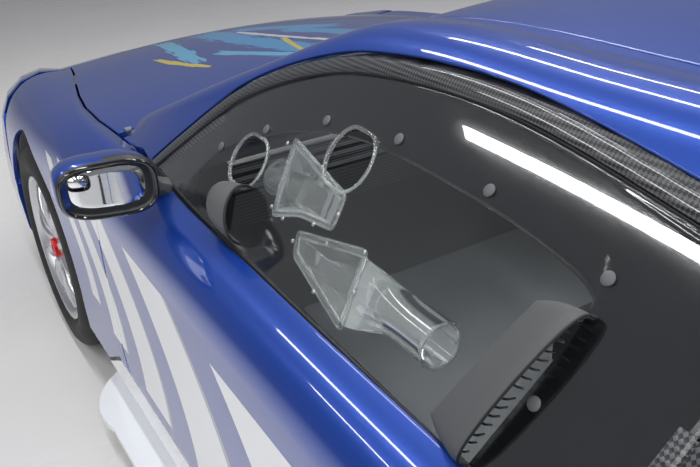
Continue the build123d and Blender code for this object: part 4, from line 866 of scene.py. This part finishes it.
CAP_RADIUS, CAP_HEIGHT = 0.0088, 0.0022
RIM_SIZE, RIM_DEPTH, RIM_RADIUS = (0.109, 0.078), 0.0052, 0.0036
both_sides("window_fasteners", *domes(DOTS, CAP_RADIUS, CAP_HEIGHT), cap_grey, "door", "grey")
rims = [tube(sheet_point(stadium(centre, *RIM_SIZE, 72), RIM_DEPTH), RIM_RADIUS, 10, closed=True)
        for centre in WINDOW_HOLES]
rim_clear = new_material("clear moulding", (0.93, 0.95, 0.95), 0.04, transmission=0.92, ior=1.45)
both_sides("hole_rims", *merged(rims), rim_clear, "door", "clear")

# The window ducts
# Clear vacuum-formed air ducts behind the sheet: a screwed flange round each mouth and a funnel to a tube.
# Each duct's mouth in side view, its round end as x, z and depth, the end's radius, and its screws
DUCTS = [
    ([(0.196, 1.066), (0.148, 0.956), (0.074, 0.980), (-0.016, 0.990), (-0.006, 1.038)],
     (0.262, 1.000, 0.070), 0.032,
     [(0.200, 1.052), (0.155, 0.968), (0.110, 0.965), (0.030, 0.984), (-0.012, 1.012), (0.080, 1.050)]),
    ([(0.066, 0.965), (0.044, 0.933), (-0.136, 0.900), (-0.108, 1.000)],
     (-0.252, 0.950, 0.074), 0.0335,
     [(0.058, 0.950), (-0.020, 0.9755), (-0.105, 0.9945), (-0.124, 0.950), (-0.045, 0.9175)]),
]


def rounded_outline(points, radius, count=96):
    """A closed outline with its corners rounded, evenly spaced."""
    p = np.array(points, float)
    line = []
    for i in range(len(p)):
        a, b, c = p[i - 1], p[i], p[(i + 1) % len(p)]
        u, v = (a - b) / np.linalg.norm(a - b), (c - b) / np.linalg.norm(c - b)
        for t in np.linspace(0, 1, 7):
            line.append(b + u * radius * (1 - t) ** 2 + v * radius * t ** 2)
    line.append(line[0])
    return spread(line, count + 1)[:-1]


def moved_in(outline, margin):
    """A closed outline moved towards its inside by a margin."""
    tangent = np.roll(outline, -1, 0) - np.roll(outline, 1, 0)
    tangent /= np.linalg.norm(tangent, axis=1, keepdims=True)
    normal = np.stack([-tangent[:, 1], tangent[:, 0]], 1)
    inwards = np.sign(((outline.mean(0) - outline) * normal).sum())
    return outline + normal * inwards * margin


def duct_shell(outline, end, radius, wall):
    """Rings from a mouth's edge to a round end: each point runs smoothly to its place on the circle."""
    mouth = moved_in(outline, 0.0085 - wall)
    centre = mouth.mean(0)
    start = sheet_point(mouth, 0.0095)
    angle = np.arctan2(mouth[:, 1] - centre[1], mouth[:, 0] - centre[0])
    sign = 1 if end[0] > centre[0] else -1
    middle = sheet_point(np.array([end[:2]]), end[2])[0]
    a = np.unwrap(angle)
    ring = np.linspace(a[0], a[0] + np.sign(a[-1] - a[0]) * 2 * math.pi, len(mouth), endpoint=False)
    slope = np.array([0, -SHEET_UP, SHEET_OUT])
    out = np.array([0, SHEET_OUT, SHEET_UP])
    circle = middle + (radius + wall) * (np.sin(ring)[:, None] * slope - sign * np.cos(ring)[:, None] * out)
    rings = [start]
    for t in (0.12, 0.28, 0.46, 0.64, 0.80, 0.90, 1.0):
        w = 3 * t ** 2 - 2 * t ** 3
        p = start * (1 - w) + circle * w
        p[:, 0] = start[:, 0] * (1 - t) + (circle[:, 0] - 0.045 * sign) * t
        rings.append(p)
    rings.append(circle - (0.006 * sign, 0, 0))
    rings.append(circle)
    return rings


CORNER_RADIUS = 0.012
DUCT_WALL = 0.0016
LIP_RADIUS = 0.0022
FLANGE_WIDTH = 0.011
FLANGE_FRONT, FLANGE_BACK = 0.0083, 0.0108
duct_pieces, screw_places = [], []
for outline, end, radius, screws in DUCTS:
    edge = rounded_outline(outline, CORNER_RADIUS)
    outside, inside = duct_shell(edge, end, radius, DUCT_WALL), duct_shell(edge, end, radius, 0.0)
    inner_edge = moved_in(edge, FLANGE_WIDTH)
    flange = [sheet_point(edge, FLANGE_FRONT), sheet_point(inner_edge, FLANGE_FRONT),
              sheet_point(inner_edge, FLANGE_BACK), sheet_point(edge, FLANGE_BACK)]
    for rings in (outside + inside[::-1], flange):
        duct_pieces.append((np.concatenate(rings), ring_faces(len(rings), len(edge))))
    duct_pieces.append(tube(outside[-1], LIP_RADIUS, 8, closed=True))
    screw_places += screws
duct_clear = new_material("clear duct", (0.95, 0.97, 0.97), 0.03, transmission=0.96, ior=1.42)
ducts = both_sides("window_duct", *merged(duct_pieces), duct_clear, "door", "clear")
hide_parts("window_ducts_left")
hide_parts("window_ducts_right")
steel = new_material("screw steel", (0.55, 0.56, 0.58), 0.3, metallic=1.0)
SCREW_RADIUS, SCREW_HEIGHT, SCREW_DEPTH = 0.0036, 0.0016, 0.0028
screw_heads = domes(screw_places, SCREW_RADIUS, SCREW_HEIGHT, SCREW_DEPTH)
both_sides("duct_screws", *screw_heads, steel, "door", "steel")

# The window scoops
# Matte grey plastic mouldings stuck over the sheet, open to the rear: a dome in front, a ribbed vent behind.
# Each row is the foot's x and z, the head's x and z, and the height over the sheet.
INLET_SCOOP = [(0.186, 0.897, 0.236, 0.972, 0.044), (0.216, 0.895, 0.262, 0.968, 0.046),
               (0.262, 0.896, 0.298, 0.960, 0.042), (0.300, 0.903, 0.322, 0.946, 0.026),
               (0.318, 0.914, 0.328, 0.934, 0.008)]
OUTLET_SCOOP = [(-0.424, 0.892, -0.470, 1.066, 0.038), (-0.404, 0.892, -0.450, 1.066, 0.034),
                (-0.374, 0.896, -0.424, 1.062, 0.020), (-0.346, 0.904, -0.398, 1.054, 0.005)]


def scoop(rows, share, wall, count=30, steps=26):
    """A shell over the sheet: half ovals from foot to head that fall to the front, doubled by a wall."""
    table = np.column_stack([np.arange(len(rows)), rows])
    v = columns_at(table, np.linspace(0, len(rows) - 1, steps))[:, 1:]
    a = np.linspace(0, math.pi, count)
    along = 0.5 - 0.5 * np.cos(a)
    layers = []
    for inset in (0.0, wall):
        foot, head = v[:, None, 0:2], v[:, None, 2:4]
        unit = (head - foot) / np.linalg.norm(head - foot, axis=-1, keepdims=True)
        foot, head = foot + unit * inset, head - unit * inset
        flat = foot + (head - foot) * along[None, :, None]
        height = np.maximum(v[:, 4:5] - inset, 0.0006) * np.sin(a)[None, :] ** share
        layers.append(sheet_point(flat, SCOOP_FOOT - height))
    return doubled(*layers), layers[0]


matte_grey = new_material("matte grey plastic", (0.085, 0.088, 0.092), 0.62)
SCOOP_WALL = 0.003
SCOOP_FOOT = 0.0026
dome, dome_rows = scoop(INLET_SCOOP, 0.75, SCOOP_WALL)
vent, vent_rows = scoop(OUTLET_SCOOP, 0.45, SCOOP_WALL)
scoops = both_sides("window_scoop", *merged([dome, vent]), matte_grey, "door", "grey")
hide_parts("window_scoops_left")
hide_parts("window_scoops_right")
RIB_COUNT = 15
mouth = vent_rows[0]
foot, head = sheet_point(np.array(OUTLET_SCOOP[0][:4]).reshape(2, 2), SCOOP_FOOT)
ribs = []
for t in np.linspace(0.06, 0.94, RIB_COUNT):
    base = foot + (head - foot) * t
    near = np.argmin(np.abs(((mouth - foot) @ (head - foot)) / ((head - foot) ** 2).sum() - t))
    crown = mouth[near] * 0.94 + base * 0.06
    path = [base + (0.010, 0, 0), (base + crown) / 2 + (0.006, 0, 0), crown + (0.010, 0, 0)]
    ribs.append(tube(path, 0.0016, 6))
both_sides("vent_ribs", *merged(ribs), gloss_black, "door", "trim")
lips = merged([tube(mouth, 0.0017, 8), tube(dome_rows[0], 0.0026, 8)])
both_sides("scoop_lips", *lips, rubber, "door", "trim")

# The door mirrors
# A blue painted cap over a dark moulded shell on a grey arm; the glass has a small inset in a black line.
MIRROR_CENTRE = (0.400, 0.982, 0.960)
MIRROR_TURN = 0.10
MIRROR_RISE = 0.05
MIRROR_TAPER = 0.10
CAP_START = 0.012
# Each ring's depth forward of the glass, its width and its height
SHELL_ROWS = [(0.0, 0.172, 0.112), (0.004, 0.178, 0.118), (0.020, 0.180, 0.120), (0.045, 0.177, 0.117),
              (0.070, 0.165, 0.107), (0.090, 0.142, 0.090), (0.104, 0.110, 0.066), (0.111, 0.070, 0.040),
              (0.113, 0.030, 0.016)]
MOUTH_ROWS = [(0.011, 0.02, 0.01), (0.010, 0.156, 0.097), (0.0, 0.160, 0.101)]
GLASS_ROWS = [(0.0085, 0.155, 0.096), (0.0065, 0.155, 0.096), (0.0062, 0.10, 0.06)]
ARM_PATH = [(0.470, 0.915, 0.938), (0.485, 0.890, 0.920), (0.505, 0.868, 0.900), (0.520, 0.850, 0.884)]


def mirror_ring(depth, width, height, power=3.2, count=72, shift=(0.0, 0.0)):
    """A rounded-oblong ring across the mirror, at a depth forward of its glass."""
    t = np.linspace(0, 2 * math.pi, count, endpoint=False)
    c, s = np.cos(t), np.sin(t)
    y = np.sign(c) * np.abs(c) ** (2 / power) * width / 2
    z = np.sign(s) * np.abs(s) ** (2 / power) * height / 2
    z = z * (1 - MIRROR_TAPER * (y / (width / 2) + 1) / 2)
    x0, y0, z0 = MIRROR_CENTRE
    return np.stack([x0 + depth + y * MIRROR_TURN, y0 + shift[0] + y, z0 + shift[1] + z + y * MIRROR_RISE], 1)


shell = lofted([mirror_ring(*row) for row in MOUTH_ROWS + SHELL_ROWS])
mirror_blue = blue_paint("mirror cap paint")
shell_dark = new_material("mirror shell", (0.022, 0.024, 0.028), 0.38)
for obj in both_sides("mirror_shell", *shell, shell_dark, "door", "trim"):
    obj.data.materials.append(mirror_blue)
    centres = np.array([p.center for p in obj.data.polygons])
    local = centres - MIRROR_CENTRE * np.array((1, np.sign(centres[0, 1]), 1))
    cap = (local[:, 0] > CAP_START) & (local[:, 2] > -CAP_START - 0.2 * np.abs(local[:, 1]))
    obj.data.polygons.foreach_set("material_index", cap.astype(np.int32))
    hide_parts("mirror_left" if centres[0, 1] > 0 else "mirror_right")
BEZEL_RADIUS = 0.0036
bezel = tube(mirror_ring(-0.001, 0.167, 0.107), BEZEL_RADIUS, 10, closed=True)
both_sides("mirror_bezel", *bezel, gloss_black, "door", "trim")
mirror_glass = new_material("mirror glass", (0.82, 0.84, 0.86), 0.02, metallic=1.0)
both_sides("mirror_glass", *lofted([mirror_ring(*row) for row in GLASS_ROWS]), mirror_glass, "door", "steel")
spot = mirror_ring(0.0056, 0.040, 0.032, 3.0, 40, (0.050, 0.024))
both_sides("mirror_spot", *lofted([spot + (0.0008, 0, 0), spot]), mirror_glass, "door", "steel")
both_sides("mirror_spot_line", *tube(spot, 0.0009, 6, closed=True), gloss_black, "door", "trim")
arm = tube(ARM_PATH, (0.019, 0.0165, 0.017, 0.024), 8)
both_sides("mirror_arm", *arm, matte_grey, "door", "grey", smooth=False)

# The wheels
# Forged racing rims with ten tapered spokes and a central locking nut, on grooved wide tyres.
rim_metal = new_material("rim", (0.62, 0.63, 0.66), 0.28, metallic=0.9, coat=0.5)
nut_red = new_material("nut red", (0.62, 0.02, 0.02), 0.3, metallic=0.6)
tyre_rubber = new_material("tyre rubber", (0.016, 0.016, 0.017), 0.72)
disc_steel = new_material("brake disc", (0.35, 0.34, 0.33), 0.35, metallic=1.0)
WHEELS = [("front", FRONT_AXLE_X, 0.812, 12), ("rear", REAR_AXLE_X, 0.820, 6)]
# Sections of (y, radius) points with y outwards: half the tyre, mirrored below, then what it goes round
HALF_TYRE = [(0.002, 0.3355), (0.004, 0.3399), (0.050, 0.3398), (0.052, 0.3355), (0.058, 0.3355),
             (0.060, 0.3398), (0.105, 0.3392), (0.119, 0.335), (0.131, 0.325), (0.141, 0.308), (0.145, 0.285),
             (0.141, 0.262), (0.127, 0.247), (0.126, 0.233)]
TYRE_SECTION = [(-y, r) for y, r in HALF_TYRE[::-1]] + HALF_TYRE
RIM_SECTION = [(0.134, 0.2405), (0.130, 0.2405), (0.128, 0.232), (0.112, 0.226), (0.090, 0.214),
               (-0.05, 0.210), (-0.110, 0.224), (-0.128, 0.232), (-0.130, 0.2405), (-0.134, 0.2405),
               (-0.134, 0.233), (-0.116, 0.217), (-0.05, 0.203), (0.085, 0.206), (0.108, 0.218),
               (0.130, 0.228), (0.134, 0.233)]
HUB_SECTION = [(0.050, 0.030), (0.050, 0.060), (0.108, 0.062), (0.118, 0.052), (0.118, 0.030)]
DISC_SECTION = [(0.030, 0.070), (0.030, 0.188), (0.058, 0.188), (0.058, 0.070)]
NUT_SECTION = [(0.114, 0.012), (0.114, 0.040), (0.119, 0.040), (0.121, 0.033), (0.131, 0.031),
               (0.1325, 0.024), (0.1325, 0.012)]
# Along a spoke: the radius, how far out it stands, its width and its depth
SPOKE_ROWS = [(0.040, 0.096, 0.046, 0.036), (0.080, 0.112, 0.034, 0.032), (0.130, 0.118, 0.026, 0.026),
              (0.175, 0.114, 0.028, 0.024), (0.205, 0.106, 0.044, 0.028), (0.219, 0.100, 0.060, 0.032)]
SPOKE_COUNT = 10
FIRST_SPOKE = 0.16


def turned_ring(section, axle_x, wheel_y, count):
    """A closed ring: a section of (y, radius) points carried round the axle."""
    a = np.linspace(0, 2 * math.pi, count, endpoint=False)
    y, r = np.array(section).T
    x, z = axle_x + r * np.cos(a)[:, None], AXLE_Z + r * np.sin(a)[:, None]
    points = np.stack([x, np.broadcast_to(wheel_y + y, x.shape), z], -1)
    return points.reshape(-1, 3), ring_faces(count, len(y))


def spoke(axle_x, wheel_y, angle):
    """One spoke: bevelled rings from the hub to the barrel, thinner at the middle, wide at both ends."""
    rings = []
    for r, y, wide, deep in SPOKE_ROWS:
        w, d = wide / 2, deep / 2
        shape = [(-w, -d), (-w, d * 0.5), (-w * 0.6, d), (w * 0.6, d), (w, d * 0.5), (w, -d)]
        ring = []
        for across_w, out in shape:
            x = r * math.cos(angle) - across_w * math.sin(angle)
            z = r * math.sin(angle) + across_w * math.cos(angle)
            ring.append((axle_x + x, wheel_y + y + out, AXLE_Z + z))
        rings.append(np.array(ring))
    return lofted(rings)


for end, axle_x, wheel_y, nut_sides in WHEELS:
    tyres = both_sides(f"tyre_{end}", *turned_ring(TYRE_SECTION, axle_x, wheel_y, 96), tyre_rubber,
                       f"wheel_{end}", "tyre")
    pieces = [turned_ring(RIM_SECTION, axle_x, wheel_y, 96)]
    for k in range(SPOKE_COUNT):
        pieces.append(spoke(axle_x, wheel_y, 2 * math.pi * k / SPOKE_COUNT + FIRST_SPOKE))
    pieces.append(turned_ring(HUB_SECTION, axle_x, wheel_y, 48))
    rims_made = both_sides(f"rim_{end}", *merged(pieces), rim_metal, f"wheel_{end}", "rim")
    disc = turned_ring(DISC_SECTION, axle_x, wheel_y, 64)
    both_sides(f"disc_{end}", *disc, disc_steel, f"wheel_{end}", "steel")
    nut = turned_ring(NUT_SECTION, axle_x, wheel_y, nut_sides)
    both_sides(f"nut_{end}", *nut, nut_red, f"wheel_{end}", "steel", smooth=False)
    for made, kind in ((tyres, "tyre"), (rims_made, "rim")):
        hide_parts(f"{kind}_{end}_left")
        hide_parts(f"{kind}_{end}_right")

# The interior
# White composite door cards. The seat, dash and cage are the frame's own: dark cloth, carbon and grey paint,
# the grey darkened as painted shade for the dim cabin.
card_white = new_material("door card", (0.70, 0.71, 0.72), 0.45)
card_bottom = from_side("lower", [(-0.520, 0.360), (0.640, 0.360)], 90)
card_top = from_side("lower", [(-0.600, 0.865), (0.640, 0.865)], 90)
card_ends = [np.linspace(card_bottom[k], card_top[k], 60) for k in (0, -1)]
card_grid = patch(card_bottom, card_top, *card_ends)
CARD_DEPTH = 0.052
for side, mirror in (("left", False), ("right", True)):
    card = panel(f"door_card_{side}", "lower", card_grid, card_white, 0.010, mirror=mirror, lift=-CARD_DEPTH)
    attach(card, f"door_{side}")
    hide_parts(f"door_{side}")

# The frame's own pieces
# Each material slot of the CAD gets a finish: paint, woven carbon, glass, cloth, steel or plastic; the cage
# grey is darkened as painted shade.
tint = new_material("dark glass", (0.012, 0.013, 0.015), 0.05, coat=1.0)
screen = new_material("windscreen glass", (0.90, 0.94, 0.93), 0.02, transmission=1.0, ior=1.45)
# The cage grey is darker than the cage's own light grey paint: painted shade for the dim light inside the
# cabin.
cage_grey_with_painted_shade = new_material("cage grey with painted shade", (0.17, 0.175, 0.185), 0.42)
iron = new_material("cast iron", (0.09, 0.09, 0.095), 0.6, metallic=0.7)
black_plastic = new_material("black plastic", (0.012, 0.012, 0.013), 0.5)
seat_cloth = new_material("seat cloth", (0.018, 0.019, 0.022), 0.85)
white_paint = new_material("white paint", WHITE, 0.3, coat=0.8)
lamp = new_material("lamp lens", (0.75, 0.78, 0.80), 0.08, transmission=0.6, coat=1.0)
red_lamp = new_material("red lens", (0.40, 0.01, 0.01), 0.1, coat=1.0)
# Grain is a noise's scale and detail with its strength and height.
# Wear is a noise's scale and detail with the least and the most roughness.
GRAIN = [(matte_grey, 900.0, 2.0, 0.12, 0.0004), (tyre_rubber, 160.0, 4.0, 0.25, 0.0008),
         (black_plastic, 700.0, 2.0, 0.10, 0.0004), (seat_cloth, 1200.0, 2.0, 0.3, 0.0006),
         (white_paint, 30.0, 2.0, 0.02, 0.001), (cage_grey_with_painted_shade, 240.0, 2.0, 0.06, 0.0005),
         (iron, 300.0, 2.0, 0.06, 0.0005), (card_white, 120.0, 2.0, 0.06, 0.0005),
         (cap_grey, 600.0, 2.0, 0.06, 0.0005)]
WEAR = [(matte_grey, 30.0, 2.0, 0.5, 0.7), (tyre_rubber, 14.0, 3.0, 0.55, 0.85),
        (black_plastic, 20.0, 2.0, 0.42, 0.6)]
POLISHED = (gloss_black, tint, rubber, shell_dark, steel, disc_steel, rim_metal, nut_red, lamp, red_lamp)
for material in POLISHED:
    rough = material.node_tree.nodes["Principled BSDF"].inputs["Roughness"].default_value
    WEAR.append((material, 18.0, 3.0, rough * 0.8, rough * 1.3))
for material, scale, detail, strength, height in GRAIN:
    nodes = Nodes(material)
    nodes.bump(nodes.noise(scale, detail), strength, height)
for material, scale, detail, least, most in WEAR:
    nodes = Nodes(material)
    nodes.roughness(nodes.noise(scale, detail), least, most)
FINISH = {"paint": paint_plain, "trim": black_plastic, "carbon": carbon, "white": white_paint,
          "clear": screen, "dark_glass": tint, "grey": matte_grey, "lamp": lamp, "red_lamp": red_lamp,
          "cage": cage_grey_with_painted_shade, "steel": steel, "iron": iron, "rim": rim_metal, "tyre": tyre_rubber}
SLOT_OF = {s["node"]: s["material_slot"] for s in frame["record"]["subparts"]}
for name, obj in frame["nodes"].items():
    material = FINISH.get(SLOT_OF.get(name, "trim"), black_plastic)
    if name == "seat":
        material = seat_cloth
    for k in range(len(obj.data.materials)):
        obj.data.materials[k] = material
    if not len(obj.data.materials):
        obj.data.materials.append(material)


def lets_light_through(material):
    """Clear plastic casts almost no shadow: shadow rays meet a pale transparent shader instead."""
    tree = material.node_tree
    path = tree.nodes.new("ShaderNodeLightPath")
    passing = tree.nodes.new("ShaderNodeBsdfTransparent")
    passing.inputs["Color"].default_value = (0.9, 0.92, 0.92, 1)
    mix = tree.nodes.new("ShaderNodeMixShader")
    tree.links.new(path.outputs["Is Shadow Ray"], mix.inputs[0])
    tree.links.new(tree.nodes["Principled BSDF"].outputs["BSDF"], mix.inputs[1])
    tree.links.new(passing.outputs["BSDF"], mix.inputs[2])
    tree.links.new(mix.outputs["Shader"], tree.nodes["Material Output"].inputs["Surface"])


for material in (clear, rim_clear, duct_clear, screen):
    lets_light_through(material)

# The floor and the light
# A pale resin workshop floor under long ceiling lights and one broad window, all soft.
FLOOR_REACH = 30
floor_material = new_material("floor", (0.78, 0.77, 0.76), 0.28)
nodes = Nodes(floor_material)
floor_tone = nodes.mix(nodes.noise(1.6, 3.0), (0.74, 0.73, 0.72), (0.82, 0.81, 0.80))
nodes.join(floor_tone, nodes.shader.inputs["Base Color"])
nodes.roughness(nodes.noise(3.0, 3.0), 0.22, 0.36)
corners = [(x * FLOOR_REACH, y * FLOOR_REACH, 0) for x, y in ((-1, -1), (1, -1), (1, 1), (-1, 1))]
floor = add_mesh("floor", corners, [[0, 1, 2, 3]], floor_material)
world = bpy.data.worlds.new("room")
world.use_nodes = True
world.node_tree.nodes["Background"].inputs["Color"].default_value = (0.20, 0.205, 0.22, 1)
world.node_tree.nodes["Background"].inputs["Strength"].default_value = 1.0
scene.world = world


def light(name, centre, size, aim, power, color=(1, 1, 1)):
    """One flat rectangular light, aimed at a point."""
    data = bpy.data.lights.new(name, "AREA")
    data.shape = "RECTANGLE"
    data.size, data.size_y = size
    data.energy = power
    data.color = color
    obj = bpy.data.objects.new(name, data)
    scene.collection.objects.link(obj)
    way = Vector(centre) - Vector(aim)
    turn = way.to_track_quat("Z", "Y").to_matrix().to_4x4()
    turn.translation = Vector(centre)
    obj.matrix_world = turn


STRIP_X, STRIP_Z, STRIP_SIZE = 0.2, 4.0, (7.0, 0.16)
FIRST_STRIP_Y, STRIP_STEP = -2.6, 1.9
STRIP_WATTS, WINDOW_WATTS, FILL_WATTS = 78, 150, 90
for k in range(4):
    strip_y = FIRST_STRIP_Y + STRIP_STEP * k
    light(f"ceiling_strip_{k}", (STRIP_X, strip_y, STRIP_Z), STRIP_SIZE, (STRIP_X, strip_y, 0), STRIP_WATTS)
light("window_wall", (-1.5, -5.5, 2.6), (6.0, 2.2), (0, 0, 0.8), WINDOW_WATTS, (0.97, 0.98, 1.0))
light("soft_fill", (-2.5, 5.0, 3.6), (5.0, 3.0), (0, 0, 0.6), FILL_WATTS, (1.0, 0.99, 0.98))

scene.view_settings.view_transform = "Standard"
